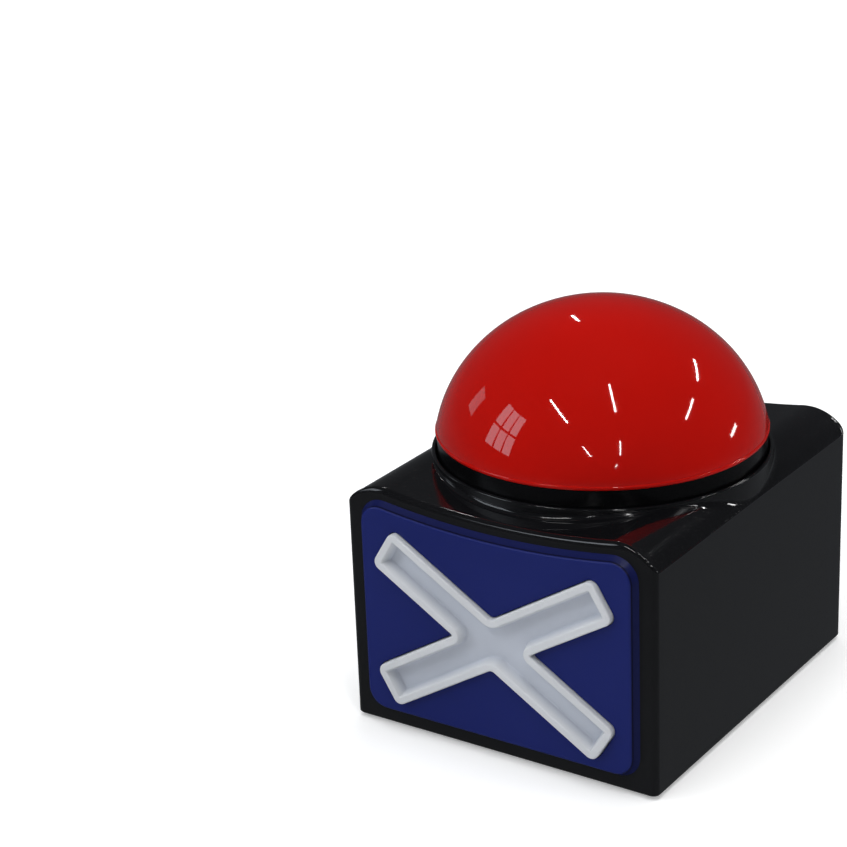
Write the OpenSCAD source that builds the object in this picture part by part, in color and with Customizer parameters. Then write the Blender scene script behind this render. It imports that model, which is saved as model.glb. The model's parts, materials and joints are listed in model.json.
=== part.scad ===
// Tabletop quiz buzzer: a black box with a dished top, a sprung dome button in a collar,
// a raised front panel with a cross-shaped lens, and its works on a deck and a base plate.
// Sizes are in millimetres, +Z is up and the front panel faces -Y.

/* [Button] */
// Width of the dome at its lower edge
dome_d = 96.4; // [92:0.2:120]
// Height of the dome above its lower edge
dome_h = 37.9; // [30:0.1:50]
// How far below its lower edge the dome's curve is widest
dome_sink = 7; // [3:0.5:10]
// Wall of the dome
dome_wall = 2.2; // [1.6:0.1:3]
// How far the dome's edge stands out past the black skirt
dome_overhang = 0.4; // [0.2:0.1:1.2]
// Travel of the button
travel = 4; // [2:0.25:4.5]
// Gap left between the dome's edge and the collar when the button is down
press_gap = 1; // [0.6:0.1:3]
// Wall of the skirt
skirt_wall = 2; // [1.6:0.1:3]
// Length of skirt that stays inside the collar when the button is up
skirt_engage = 6; // [4:0.5:9]
// Thickness of the carrier's web
web_t = 2; // [1.6:0.2:3]
// Radial gap between the skirt and the collar
skirt_gap = 0.4; // [0.3:0.05:0.8]

/* [Housing] */
// Wall of the housing
wall = 2.5; // [2:0.1:3]
// Wall of the collar
collar_wall = 1.2; // [1:0.1:2]
// Body beyond the collar at each side
side_margin = 0.6; // [0.4:0.1:12]
// Body beyond the collar at the front and at the back
front_margin = 8.6; // [7:0.1:20]
// Height of the housing from its underside to the crest of the shoulders
body_h = 73.5; // [72:0.5:95]
// Radius of the two shoulders
shoulder_r = 13.5; // [11:0.5:16]
// Fall of the shoulder from its crest to the flat side
shoulder_drop = 7; // [6:0.5:9]
// Depth of the dish between the shoulders
dish_dip = 2.8; // [2:0.1:4]
// Height of the collar above the bottom of the dish
collar_rise = 3.7; // [3.4:0.1:6]
// Rounding of the upright edges
edge_r = 2; // [1:0.5:4]

/* [Front] */
// Width of the raised panel's face
panel_w = 87.6; // [84:0.2:90]
// Foot of the panel's face above the housing's underside
panel_foot = 5.2; // [4:0.2:8]
// Black border left between the panel's face and the dished edge
panel_border = 4.7; // [4:0.1:7]
// Corner radius of the panel's face
panel_corner = 6; // [3:0.5:9]
// How far the panel stands out from the housing
panel_proud = 2.4; // [2:0.1:4]
// Spread of the panel's sides from its face back to the housing
panel_draft = 1.2; // [0.6:0.1:2]
// Length of each arm pair of the cross, end to end
cross_len = 84; // [70:0.5:84]
// Width of an arm
arm_w = 13; // [10:0.5:14]
// Tilt of the arms from level
arm_angle = 31.4; // [28:0.2:33]
// Corner radius at the ends of the arms
arm_corner = 2.4; // [1:0.2:3]
// Width of the rim round the cross's channel
cross_rim = 2.4; // [1.6:0.1:3]
// How far the cross stands out from the panel
cross_proud = 1.7; // [1:0.1:3]
// Depth of the cross's channel
channel_depth = 3.4; // [2:0.1:3.6]
// Width of the hidden flange behind the panel
flange_w = 1.8; // [1:0.1:2.2]
// Thickness of that flange
flange_t = 1.1; // [0.8:0.1:1.3]

/* [Base] */
// Thickness of the base plate
base_t = 3.5; // [3:0.1:5]
// Gap round the base plate
base_gap = 0.2; // [0.15:0.05:0.5]
// How far the feet stand out below the housing
foot_proud = 1.2; // [0.8:0.1:2]
// Radius of a foot
foot_r = 5; // [4:0.5:6]
// Depth of a foot's pocket
foot_pocket = 0.8; // [0.5:0.1:1.2]
// Thickness of the battery door
door_t = 2; // [1.6:0.1:2.2]
// Ledge that the battery door closes on
door_ledge = 1.6; // [1.2:0.1:2.5]
// Gap round the battery door
door_gap = 0.3; // [0.3:0.05:0.5]

/* [Works] */
// Length of a battery cell with its button
cell_len = 50.5; // [44:0.5:60]
// Radius of a battery cell
cell_r = 7.1; // [5.2:0.1:7.4]
// Number of battery cells
cell_count = 3; // [2:1:3]
// Radius of the speaker
speaker_r = 20; // [14:0.5:20]
// Height of the speaker
speaker_h = 14; // [10:0.5:16]
// Thickness of the button deck
deck_t = 2.5; // [2:0.1:4]
// Radius of a guide post under the button
guide_r = 3; // [2.5:0.1:3.5]
// Radial gap between a guide post and its sleeve
guide_gap = 0.3; // [0.3:0.05:0.5]
// Wall of a guide sleeve
sleeve_wall = 1.7; // [1.4:0.1:2.2]
// Wire radius of a return spring
spring_wire_r = 0.45; // [0.3:0.05:0.6]
// Thickness of the circuit boards
board_t = 1.6; // [1:0.1:2]
// Radius of the light board under the dome
light_board_r = 23; // [22:0.5:24]
// Side of the push switch's body
switch_w = 14; // [10:0.5:16]
// Travel of the power switch
power_travel = 4; // [2:0.5:5]

/* [Screws] */
// Shank radius of a screw
screw_r = 1.25; // [1:0.05:1.5]
// Head radius of a screw
head_r = 2.9; // [2.4:0.1:3.2]
// Head height of a screw
head_h = 1.8; // [1.4:0.1:2]
// Gap round a screw in its pilot hole
pilot_gap = 0.05; // [0.02:0.01:0.1]
// Gap round a screw in the piece that it holds
pass_gap = 0.4; // [0.3:0.05:0.6]

/* [Hidden] */
$fn = 96;
// the gap between two pieces that are laid against each other
seat = 0.1;
// the gap between a moving stop and what it meets
stop_gap = 0.3;

// button and collar
edge_r_dome = dome_d / 2;
skirt_r = edge_r_dome - dome_overhang;
bore_r = skirt_r + skirt_gap;
collar_r = bore_r + collar_wall;

// housing
body_w = 2 * (collar_r + side_margin);
body_d = 2 * (collar_r + front_margin);
inner_w = body_w - 2 * wall;
inner_d = body_d - 2 * wall;
crest_cz = body_h - shoulder_r;
crest_x = body_w / 2 - sqrt(pow(shoulder_r, 2) - pow(shoulder_r - shoulder_drop, 2));
dish_r = (pow(crest_x, 2) + pow(dish_dip, 2)) / (2 * dish_dip) - shoulder_r;
dish_cz = body_h - dish_dip + dish_r;
dish_z = body_h - dish_dip;
rim_z = dish_z + collar_rise;
dome_z = rim_z + travel + press_gap;
skirt_foot = rim_z - skirt_engage;
well_foot = skirt_foot - travel - 1.8;
front_y = -body_d / 2;

// carrier, deck and guides
web_z = dome_z - 5.3;
web_in_r = skirt_r - skirt_wall - 14.8;
guide_ring_r = skirt_r - skirt_wall - 8.8;
guide_xy = guide_ring_r * sqrt(0.5);
deck_z = web_z - 14 - deck_t;
deck_top = deck_z + deck_t;
sleeve_r = guide_r + guide_gap + sleeve_wall;
sleeve_top = web_z - travel - 6;
sleeve_foot = deck_z - 4.7;
guide_foot = sleeve_foot - stop_gap;
washer_r = sleeve_r + 0.2;
washer_t = 1;
spring_r = sleeve_r + 1;
deck_post_x = 30;
deck_post_y = inner_d / 2 - 6;
post_r = 3.5;
column_r = 4;
column_x = inner_w / 2 - column_r + 0.4;
column_y = inner_d / 2 - column_r + 0.4;
column_clear = column_r + 1.2;

// boards
light_board_z = deck_top + 0.5;
light_top = light_board_z + board_t;
led_r = 2.5;
led_ring_r = 17;
led_h = 5.2;
switch_h = 6.4;
plunger_r = 2.5;
plunger_top = web_z - 0.2;
main_board_w = 2 * (guide_xy - washer_r - 1.5);
main_board_l = 76;
main_board_top = deck_z - 4;
main_screw_x = main_board_w / 2 - 3.5;
main_screw_y = main_board_l / 2 - 4;
cross_board_y = -inner_d / 2 + 8;
cross_board_w = 72;
cross_board_h = 40;

// front
panel_top_r = dish_r + panel_border;
cross_z = (panel_foot + dish_z - panel_border) / 2 - 0.1;
panel_screw_x = 9;
panel_screw_z = 25;
boss_r = 2.4;
cross_screw_x = 32;
cross_screw_z = 17;

// base, battery bay and speaker
base_top = base_t;
cell_pitch = 2 * cell_r + 0.6;
bay_w = cell_len + 7.5;
bay_d = cell_count * cell_pitch + 0.8;
bay_wall = 1.5;
bay_y = inner_d / 2 - 4.4 - bay_wall - bay_d / 2;
cell_z = base_t + cell_r + 0.2;
bay_top = cell_z + cell_r + 0.6 + bay_wall;
speaker_y = -inner_d / 2 + 11.5 + speaker_r;
foot_x = inner_w / 2 - 6.5;
foot_y = inner_d / 2 - 14.5;
contact_t = 0.5;
lead_r = 0.65;
lead_gap = 0.35;
lead_top = main_board_top - board_t - seat - lead_gap;
power_x = speaker_r + 13;
knob_l = 3.4;
knob_w = 3;

battery_lead_x = bay_w / 2 - contact_t - lead_r - 0.05;
function battery_lead_y(s) = bay_y - s * (cell_count - 1) / 2 * cell_pitch;

mid_y = (panel_proud + cross_proud) / 2;

// ---- places and shared shapes ----

// from the body's own frame, on its underside and on its centre line, to the part's frame
module placed() { translate([0, mid_y, foot_proud]) children(); }

module at_four(x, y) { for (sx = [-1, 1], sy = [-1, 1]) translate([sx * x, sy * y, 0]) children(); }

module at_ring(r, count, start = 0) {
  for (i = [0:count - 1]) rotate(start + 360 * i / count) translate([r, 0, 0]) children();
}

// a flat outline standing up on the front, drawn in x and z, thick towards -Y
module standing(y, thick) { translate([0, y, 0]) rotate([90, 0, 0]) linear_extrude(thick) children(); }

module rounded_rect(w, d, r) {
  square([w - 2 * r, d], center = true);
  square([w, d - 2 * r], center = true);
  for (sx = [-1, 1], sy = [-1, 1]) translate([sx * (w / 2 - r), sy * (d / 2 - r)]) circle(r);
}

// a screw whose head rests at z = 0 and whose shank points up
module screw(length) {
  difference() {
    union() {
      translate([0, 0, -head_h]) cylinder(r = head_r, h = head_h);
      translate([0, 0, -0.01]) cylinder(r = screw_r, h = length);
    }
    for (turn = [0, 90]) rotate(turn)
      translate([-head_r * 0.6, -0.35, -head_h - 1]) cube([head_r * 1.2, 0.7, 1 + head_h * 0.5]);
  }
}

module pilot(length) { cylinder(r = screw_r + pilot_gap, h = length); }

function reversed(list) = [for (i = [len(list) - 1:-1:0]) list[i]];
function mirrored(list) = [for (p = list) [-p[0], p[1]]];

// right half of a dished outline: from its centre line out over a round shoulder to its side
function dished(centre_z, radius, side, corner, corner_z, end_angle) =
  let (corner_x = side, lean = atan2(corner_x, centre_z - corner_z))
  concat([for (i = [0:10]) [radius * sin(lean * i / 10), centre_z - radius * cos(lean * i / 10)]],
         [for (i = [1:16]) let (a = 90 + lean + (end_angle - 90 - lean) * i / 16)
           [corner_x + corner * cos(a), corner_z + corner * sin(a)]]);

// the housing's cross-section, set in by inset and cut off at bottom
module crown_outline(inset, bottom) {
  side = body_w / 2 - inset;
  corner = shoulder_r - inset;
  half = dished(dish_cz, dish_r + inset, crest_x, corner, crest_cz, acos((side - crest_x) / corner));
  polygon(concat([[side, bottom]], reversed(half), mirrored([for (i = [1:len(half) - 1]) half[i]]),
                 [[-side, bottom]]));
}

module crown_block(inset, bottom) {
  standing(body_d / 2 - inset, body_d - 2 * inset) crown_outline(inset, bottom);
}

// the front panel's outline, grown by grow
module panel_outline(grow) {
  corner = panel_corner + grow;
  corner_x = panel_w / 2 - panel_corner;
  corner_z = dish_cz - sqrt(pow(panel_top_r + panel_corner, 2) - pow(corner_x, 2));
  foot_z = panel_foot + panel_corner;
  half = dished(dish_cz, panel_top_r - grow, corner_x, corner, corner_z, 0);
  foot = [for (i = [0:8]) [corner_x + corner * cos(-90 + 90 * i / 8), foot_z + corner * sin(-90 + 90 * i / 8)]];
  polygon(concat(foot, reversed(half), mirrored([for (i = [1:len(half) - 1]) half[i]]),
                 mirrored(reversed(foot))));
}

module cross_outline(grow) {
  translate([0, cross_z]) for (tilt = [-arm_angle, arm_angle]) rotate(tilt)
    rounded_rect(cross_len + 2 * grow, arm_w + 2 * grow, max(0.4, arm_corner + grow));
}

// a round wire wound about +Z, from bottom r0 to top r1
module coil_spring(r0, r1, wire, height, turns) {
  sides = 6;
  steps = turns * 14;
  ring = [for (i = [0:steps]) let (a = 360 * turns * i / steps, r = r0 + (r1 - r0) * i / steps,
            z = wire + (height - 2 * wire) * i / steps)
            for (j = [0:sides - 1]) let (b = 360 * j / sides, out = r + wire * cos(b))
              [out * cos(a), out * sin(a), z + wire * sin(b)]];
  walls = [for (i = [0:steps - 1], j = [0:sides - 1]) let (k = (j + 1) % sides)
            [i * sides + j, i * sides + k, (i + 1) * sides + k, (i + 1) * sides + j]];
  polyhedron(ring, concat([[for (j = [sides - 1:-1:0]) j]], walls,
                          [[for (j = [0:sides - 1]) steps * sides + j]]), convexity = 10);
}

function between(p0, p1, p2, p3, t) =
  0.5 * (2 * p1 + (p2 - p0) * t + (2 * p0 - 5 * p1 + 4 * p2 - p3) * t * t
         + (3 * p1 - p0 - 3 * p2 + p3) * t * t * t);
function smooth(route, steps) = let (last = len(route) - 1)
  concat([for (i = [0:last - 1], k = [0:steps - 1])
            between(route[max(i - 1, 0)], route[i], route[i + 1], route[min(i + 2, last)], k / steps)],
         [route[last]]);
function unit(v) = v / norm(v);

// an electric lead along a route of points
module lead(route) {
  sides = 8;
  path = smooth(route, 5);
  last = len(path) - 1;
  ring = [for (i = [0:last])
            let (along = unit(path[min(i + 1, last)] - path[max(i - 1, 0)]),
                 side = unit(cross(along, [1, 0.2, 0])), up = cross(along, side))
              for (j = [0:sides - 1]) path[i] + lead_r * (side * cos(360 * j / sides) + up * sin(360 * j / sides))];
  walls = [for (i = [0:last - 1], j = [0:sides - 1]) let (k = (j + 1) % sides)
            [i * sides + j, (i + 1) * sides + j, (i + 1) * sides + k, i * sides + k]];
  polyhedron(ring, concat([[for (j = [0:sides - 1]) j]], walls,
                          [[for (j = [sides - 1:-1:0]) last * sides + j]]), convexity = 10);
}

module led(length) {
  cylinder(r = led_r + 0.4, h = 1);
  cylinder(r = led_r, h = length - led_r);
  translate([0, 0, length - led_r]) sphere(led_r);
}

// ---- housing and front ----

module deck_posts() { at_four(deck_post_x, deck_post_y) translate([0, 0, deck_top + seat]) cylinder(r = post_r, h = body_h); }

module columns() { at_four(column_x, column_y) translate([0, 0, base_top + seat]) cylinder(r = column_r, h = body_h); }

module cross_board_places() {
  for (s = [-1, 1]) {
    translate([0, 0, cross_z + s * cross_screw_z]) rotate([90, 0, 0]) children();
    translate([s * cross_screw_x, 0, cross_z]) rotate([90, 0, 0]) children();
  }
}

module panel_screw_places() {
  for (sx = [-1, 1], sz = [-1, 1])
    translate([sx * panel_screw_x, 0, cross_z + sz * panel_screw_z]) rotate([90, 0, 0]) children();
}

module collar_ring() {
  soft = 0.5;
  rotate_extrude() polygon([[0, well_foot], [collar_r, well_foot], [collar_r, rim_z - soft],
                            [collar_r - soft * 0.3, rim_z - soft * 0.3], [collar_r - soft, rim_z],
                            [0, rim_z]]);
}

module housing() {
  color("#161618") placed() difference() {
    union() {
      intersection() {
        crown_block(0, 0);
        linear_extrude(body_h + 1) rounded_rect(body_w, body_d, edge_r);
      }
      collar_ring();
    }
    difference() {
      crown_block(wall, -1);
      translate([0, 0, well_foot]) cylinder(r = collar_r, h = body_h);
      deck_posts();
      columns();
      translate([0, cross_board_y - board_t - seat, 0]) cross_board_places() cylinder(r = 3, h = 20);
    }
    translate([0, 0, well_foot]) cylinder(r = bore_r, h = body_h);
    at_four(deck_post_x, deck_post_y) translate([0, 0, deck_top]) pilot(7);
    at_four(column_x, column_y) translate([0, 0, base_top]) pilot(14);
    translate([0, cross_board_y + 1, 0]) cross_board_places() pilot(8);
    translate([0, front_y + wall + 1, 0]) panel_screw_places() cylinder(r = boss_r + 0.15, h = wall + 2);
    standing(front_y + flange_t + seat, flange_t + 1) cross_outline(flange_w + 0.2);
    standing(front_y + wall + 1, wall + 2) cross_outline(-cross_rim);
  }
}

module front_panel() {
  color("#1a2263") placed() difference() {
    union() {
      standing(front_y, panel_proud / 2) panel_outline(panel_draft);
      standing(front_y, panel_proud) panel_outline(0);
      translate([0, front_y + wall - seat, 0]) panel_screw_places() cylinder(r = boss_r, h = wall);
    }
    standing(front_y + 1, panel_proud + 2) cross_outline(seat);
    translate([0, front_y + wall, 0]) panel_screw_places() pilot(wall + panel_proud - 1);
  }
}

module cross_lens() {
  color("#e4e6e8") placed() difference() {
    union() {
      standing(front_y, panel_proud + cross_proud) cross_outline(0);
      standing(front_y + flange_t, flange_t) cross_outline(flange_w);
    }
    standing(front_y - panel_proud - cross_proud + channel_depth, channel_depth + 1) cross_outline(-cross_rim);
  }
}

module panel_screws() {
  color("#9a9ca0") placed() translate([0, front_y + wall, 0]) panel_screw_places() screw(wall + panel_proud - 1.4);
}

// ---- base ----

module grille_places() { for (ring = [0:2]) at_ring(5.6 * ring, max(1, 6 * ring)) children(); }

module speaker_screw_places() { at_ring(speaker_r + 2.6, 3, 90) children(); }

module base_plate() {
  color("#1c1c1e") placed() difference() {
    union() {
      linear_extrude(base_t) rounded_rect(inner_w - 2 * base_gap, inner_d - 2 * base_gap, 1);
      translate([0, bay_y, bay_top / 2])
        cube([bay_w + 2 * bay_wall, bay_d + 2 * bay_wall, bay_top], center = true);
      translate([0, speaker_y, 0]) speaker_screw_places() cylinder(r = 2.2, h = base_top + 1);
    }
    translate([0, bay_y, (bay_top - bay_wall) / 2 - 1])
      cube([bay_w, bay_d, bay_top - bay_wall + 2], center = true);
    translate([0, bay_y, 0]) cube([bay_w + 2 * door_ledge, bay_d + 2 * door_ledge, 2 * (door_t + seat)], center = true);
    for (s = [-1, 1]) translate([s * (bay_w / 2 + 4), bay_y, -1]) {
      cylinder(r = 3.6 + door_gap, h = 1 + door_t + seat);
      cylinder(r = screw_r + pilot_gap, h = base_t + 3);
    }
    at_four(column_x, column_y) translate([0, 0, -1]) {
      cylinder(r = head_r + 0.3, h = 1 + head_h + 0.2);
      cylinder(r = screw_r + pass_gap, h = base_t + 2);
    }
    at_four(foot_x, foot_y) translate([0, 0, -1]) cylinder(r = foot_r + 0.1, h = 1 + foot_pocket);
    for (s = [-1, 1]) translate([s * battery_lead_x, battery_lead_y(s), bay_top - bay_wall - 1])
      cylinder(r = lead_r + 0.55, h = bay_wall + 2);
    translate([0, speaker_y, -1]) grille_places() cylinder(r = 1.3, h = base_t + 2);
    translate([0, speaker_y, base_top - 1]) speaker_screw_places() pilot(4);
    translate([power_x, speaker_y, 0]) {
      cube([knob_w + 0.8, knob_l + power_travel + 1.2, 3 * base_t], center = true);
      cube([knob_w + 4, knob_l + power_travel + 5, 3], center = true);
      for (s = [-1, 1]) translate([0, s * 10.5, base_top - 2]) pilot(4);
    }
  }
}

module rubber_feet() {
  color("#2a2a2a") placed() at_four(foot_x, foot_y) rotate_extrude()
    polygon([[0, foot_pocket], [foot_r, foot_pocket], [foot_r, -foot_proud + 0.5],
             [foot_r - 0.5, -foot_proud], [0, -foot_proud]]);
}

module base_screws() {
  color("#9a9ca0") placed() at_four(column_x, column_y) translate([0, 0, head_h + 0.2]) screw(base_t + 8);
}

module battery_door() {
  color("#1c1c1e") placed() translate([0, bay_y, 0]) difference() {
    union() {
      translate([0, 0, door_t / 2])
        cube([bay_w + 2 * (door_ledge - door_gap), bay_d + 2 * (door_ledge - door_gap), door_t], center = true);
      for (s = [-1, 1]) translate([s * (bay_w / 2 + 4), 0, 0]) cylinder(r = 3.6, h = door_t);
    }
    for (s = [-1, 1]) translate([s * (bay_w / 2 + 4), 0, -1]) {
      cylinder(r = head_r + 0.2, h = 1 + door_t - 0.8);
      cylinder(r = screw_r + 0.2, h = door_t + 2);
    }
    for (i = [-3:3]) translate([0, i * 2.4 - bay_d / 2 + 11, 0]) cube([18, 1.1, 1], center = true);
  }
}

module door_screws() {
  color("#9a9ca0") placed() for (s = [-1, 1])
    translate([s * (bay_w / 2 + 4), bay_y, door_t - 0.8]) door_screw();
}

module door_screw() {
  difference() {
    union() {
      translate([0, 0, -1]) cylinder(r = head_r, h = 1);
      translate([0, 0, -0.01]) cylinder(r = screw_r - 0.25, h = 3.5);
    }
    for (turn = [0, 90]) rotate(turn) translate([-head_r * 0.6, -0.35, -1.5]) cube([head_r * 1.2, 0.7, 1]);
  }
}

// ---- battery ----

// each cell lies along X, and every other one is turned round
module cell_places() {
  for ($cell = [0:cell_count - 1])
    translate([0, bay_y + ($cell - (cell_count - 1) / 2) * cell_pitch, cell_z])
      rotate([0, 0, 180 * ($cell % 2)]) translate([bay_w / 2 - contact_t, 0, 0]) children();
}

module battery_cells() {
  color("#3b6b4a") placed() cell_places() rotate([0, -90, 0]) rotate_extrude()
    polygon([[0, 0], [2.6, 0], [2.6, 1.5], [cell_r - 0.6, 1.5], [cell_r, 2.1], [cell_r, cell_len - 0.6],
             [cell_r - 0.6, cell_len], [0, cell_len]]);
}

module contact_springs() {
  color("#c8c8cc") placed() cell_places() translate([-bay_w + 2 * contact_t, 0, 0]) rotate([0, 90, 0])
    coil_spring(4.6, 2.6, 0.4, bay_w - 2 * contact_t - cell_len, 4);
}

module contact_plates() {
  color("#b9b9bd") placed() cell_places() {
    translate([contact_t / 2, 0, 0]) cube([contact_t, 11, 11], center = true);
    translate([-bay_w + 1.5 * contact_t, 0, 0]) cube([contact_t, 11, 11], center = true);
    // the strip that joins this cell to the next
    if ($cell < cell_count - 1)
      translate([-bay_w + 1.5 * contact_t, ($cell % 2 == 0 ? 1 : -1) * cell_pitch / 2, 0])
        cube([contact_t, cell_pitch, 6], center = true);
  }
}

// ---- speaker ----

module speaker_frame() {
  color("#8e8f92") placed() translate([0, speaker_y, base_top]) rotate_extrude()
    polygon([[speaker_r - 2.5, 0], [speaker_r, 0], [speaker_r, 1], [speaker_r - 1.6, 1],
             [speaker_r * 0.5, speaker_h * 0.5], [4.2, speaker_h * 0.5], [4.2, speaker_h * 0.5 - 0.8],
             [speaker_r * 0.5 - 0.6, speaker_h * 0.5 - 0.8], [speaker_r - 2.5, 0.8]]);
}

module speaker_cone() {
  color("#2b2b2b") placed() translate([0, speaker_y, base_top]) rotate_extrude()
    polygon([[speaker_r - 2.7, 0.1], [speaker_r - 2.7, 0.6], [4, 5.3], [2.5, 3.8], [0, 3.2], [0, 2.7],
             [2.9, 3.3], [4.2, 4.5], [speaker_r - 3.6, 0.1]]);
}

module speaker_magnet() {
  color("#55565a") placed() translate([0, speaker_y, base_top + speaker_h * 0.5]) rotate_extrude()
    polygon([[0, 0], [speaker_r * 0.45, 0], [speaker_r * 0.45, speaker_h * 0.5 - 1],
             [speaker_r * 0.45 - 1, speaker_h * 0.5], [0, speaker_h * 0.5]]);
}

module speaker_screws() {
  color("#9a9ca0") placed() translate([0, speaker_y, base_top + 1]) speaker_screw_places()
    rotate([180, 0, 0]) screw(1.9);
}

// ---- power switch ----

module power_switch_body() {
  color("#6d6f73") placed() translate([power_x, speaker_y, base_top]) difference() {
    union() {
      translate([0, 0, 3]) cube([7, 15, 6], center = true);
      translate([0, 0, 0.5]) cube([5, 25, 1], center = true);
    }
    translate([0, 0, 1.5]) cube([4.4, knob_l + power_travel + 4, 5], center = true);
    for (s = [-1, 1]) translate([0, s * 10.5, -1]) cylinder(r = screw_r + pass_gap, h = 3);
  }
}

module power_switch_screws() {
  color("#9a9ca0") placed() for (s = [-1, 1]) translate([power_x, speaker_y + s * 10.5, base_top + 1])
    rotate([180, 0, 0]) screw(2.8);
}

module power_switch_knob() {
  color("#d8d8d4") placed() translate([power_x, speaker_y - power_travel / 2, 0]) {
    translate([0, 0, (base_top + 2) / 2 + 0.4]) cube([knob_w, knob_l, base_top + 1.2], center = true);
    translate([0, 0, base_top + 1.5]) cube([knob_w + 0.6, knob_l + 1.6, 1], center = true);
  }
}

// ---- electric leads ----

// one lead from each end of the row of cells, out through the top of the bay and up to the main board
module battery_leads() {
  color("#a01818") placed() for (s = [-1, 1]) lead([
    [s * battery_lead_x, battery_lead_y(s), cell_z + (s > 0 ? 4.2 : 5.2)],
    [s * battery_lead_x, battery_lead_y(s), bay_top + 3], [s * 25, battery_lead_y(s) - 2, 30],
    [s * 17, battery_lead_y(s) - 8, 40], [s * 12, battery_lead_y(s) - 12, 47],
    [s * 11, battery_lead_y(s) - 13, lead_top]]);
}

module speaker_leads() {
  top = base_top + speaker_h * 0.3 + 1.1;
  color("#222222") placed() for (s = [-1, 1]) translate([s * 2 - 6, speaker_y, 0]) lead([
    [s, speaker_r * 0.7, top], [s, speaker_r * 0.75, top + 6], [s * 2 - 2, speaker_r * 0.65, 26],
    [-3, 11, 40], [-3, 10, lead_top]]);
}

module light_leads() {
  color("#a01818") placed() for (i = [-1:1]) lead([
    [i * 1.5, 12, light_board_z - lead_gap], [i * 1.5, 12.4, deck_z], [i * 1.5, 12, main_board_top - seat + lead_gap]]);
}

module cross_leads() {
  color("#222222") placed() for (s = [-1, 1]) lead([
    [s * 2, cross_board_y + lead_gap, cross_z + 8], [s * 2, cross_board_y + 4, cross_z + 8.5],
    [s * 2, cross_board_y + 10, cross_z + 11], [s * 2, cross_board_y + 14, lead_top]]);
}

module power_leads() {
  color("#a01818") placed() for (s = [-1, 1]) translate([0, s * 2, 0]) lead([
    [power_x, speaker_y, base_top + 6 + lead_gap], [power_x, speaker_y + 1, 16], [power_x - 3, speaker_y + 3, 28],
    [20, speaker_y + 6, 42], [16, speaker_y + 9, lead_top]]);
}

// ---- deck and boards ----

module guide_places() { at_four(guide_xy, guide_xy) children(); }

module button_deck() {
  color("#26282b") placed() difference() {
    union() {
      translate([0, 0, deck_z]) linear_extrude(deck_t) difference() {
        square([inner_w - 1.6, inner_d - 4.8], center = true);
        at_four(inner_w / 2, inner_d / 2) square(2 * (column_clear + column_r), center = true);
      }
      guide_places() translate([0, 0, sleeve_foot]) cylinder(r = sleeve_r, h = sleeve_top - sleeve_foot);
      for (x = [-1, 1]) translate([x * 19, 0, deck_z]) cylinder(r = 2.8, h = deck_t + 0.5);
      at_four(main_screw_x, main_screw_y) translate([0, 0, main_board_top]) cylinder(r = 2.6, h = deck_z - main_board_top + 1);
    }
    guide_places() translate([0, 0, sleeve_foot - 1]) cylinder(r = guide_r + guide_gap, h = sleeve_top - sleeve_foot + 2);
    at_four(deck_post_x, deck_post_y) translate([0, 0, deck_z - 1]) cylinder(r = screw_r + pass_gap, h = deck_t + 2);
    for (x = [-1, 1]) translate([x * 19, 0, deck_z - 1]) pilot(deck_t + 3);
    at_four(main_screw_x, main_screw_y) translate([0, 0, main_board_top - 1]) pilot(6);
    translate([0, 12, deck_z - 1]) cylinder(r = 3, h = deck_t + 2);
  }
}

module deck_screws() {
  color("#9a9ca0") placed() at_four(deck_post_x, deck_post_y) translate([0, 0, deck_z]) screw(deck_t + 6);
}

module return_springs() {
  color("#c4c6ca") placed() guide_places() translate([0, 0, deck_top])
    coil_spring(spring_r, spring_r, spring_wire_r, web_z - deck_top, 6);
}

module light_board() {
  color("#e8e8e4") placed() difference() {
    translate([0, 0, light_board_z]) cylinder(r = light_board_r, h = board_t);
    for (x = [-1, 1]) translate([x * 19, 0, light_board_z - 1]) cylinder(r = screw_r + pass_gap, h = board_t + 2);
    translate([0, 12, light_board_z - 1]) cylinder(r = 1.5, h = board_t + 2);
  }
}

module light_board_leds() {
  color("#e9ecef", 0.8) placed() translate([0, 0, light_top]) at_ring(led_ring_r, 6, 30) led(led_h);
}

module light_board_screws() {
  color("#9a9ca0") placed() for (x = [-1, 1]) translate([x * 19, 0, light_top]) rotate([180, 0, 0]) screw(board_t + 2.8);
}

module push_switch_body() {
  color("#222226") placed() translate([0, 0, light_top]) difference() {
    union() {
      translate([0, 0, switch_h / 4]) cube([switch_w, switch_w, switch_h / 2], center = true);
      translate([0, 0, switch_h * 0.7]) cube([switch_w - 2, switch_w - 2, switch_h * 0.6], center = true);
    }
    translate([0, 0, 0.25]) cylinder(r = plunger_r + stop_gap, h = switch_h);
  }
}

module switch_plunger() {
  foot = light_top + 0.25 + stop_gap + travel;
  color("#c9a227") placed() {
    translate([0, 0, foot]) cylinder(r = plunger_r, h = plunger_top - foot);
    translate([0, 0, plunger_top - 1]) cylinder(r = 3.6, h = 1);
  }
}

module main_board() {
  color("#1f5a34") placed() translate([0, 0, main_board_top - board_t - seat]) difference() {
    translate([0, 0, board_t / 2]) cube([main_board_w, main_board_l, board_t], center = true);
    at_four(main_screw_x, main_screw_y) translate([0, 0, -1]) cylinder(r = screw_r + pass_gap, h = board_t + 2);
  }
}

module sound_chip() {
  color("#0e0e10") placed() translate([-4, 4, main_board_top - board_t - seat]) rotate([180, 0, 0]) rotate_extrude()
    polygon([[0, 0], [6, 0], [5.4, 1], [4, 1.7], [2, 2], [0, 2.1]]);
}

module capacitors() {
  color("#2a3550") placed() for (y = [-20, -8]) translate([9, y, main_board_top - board_t - seat])
    rotate([180, 0, 0]) rotate_extrude()
    polygon([[0, 0], [3.1, 0], [3.1, 10.6], [2.7, 11], [0, 11]]);
}

module main_board_screws() {
  color("#9a9ca0") placed() at_four(main_screw_x, main_screw_y)
    translate([0, 0, main_board_top - board_t - seat]) screw(board_t + 3.6);
}

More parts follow.
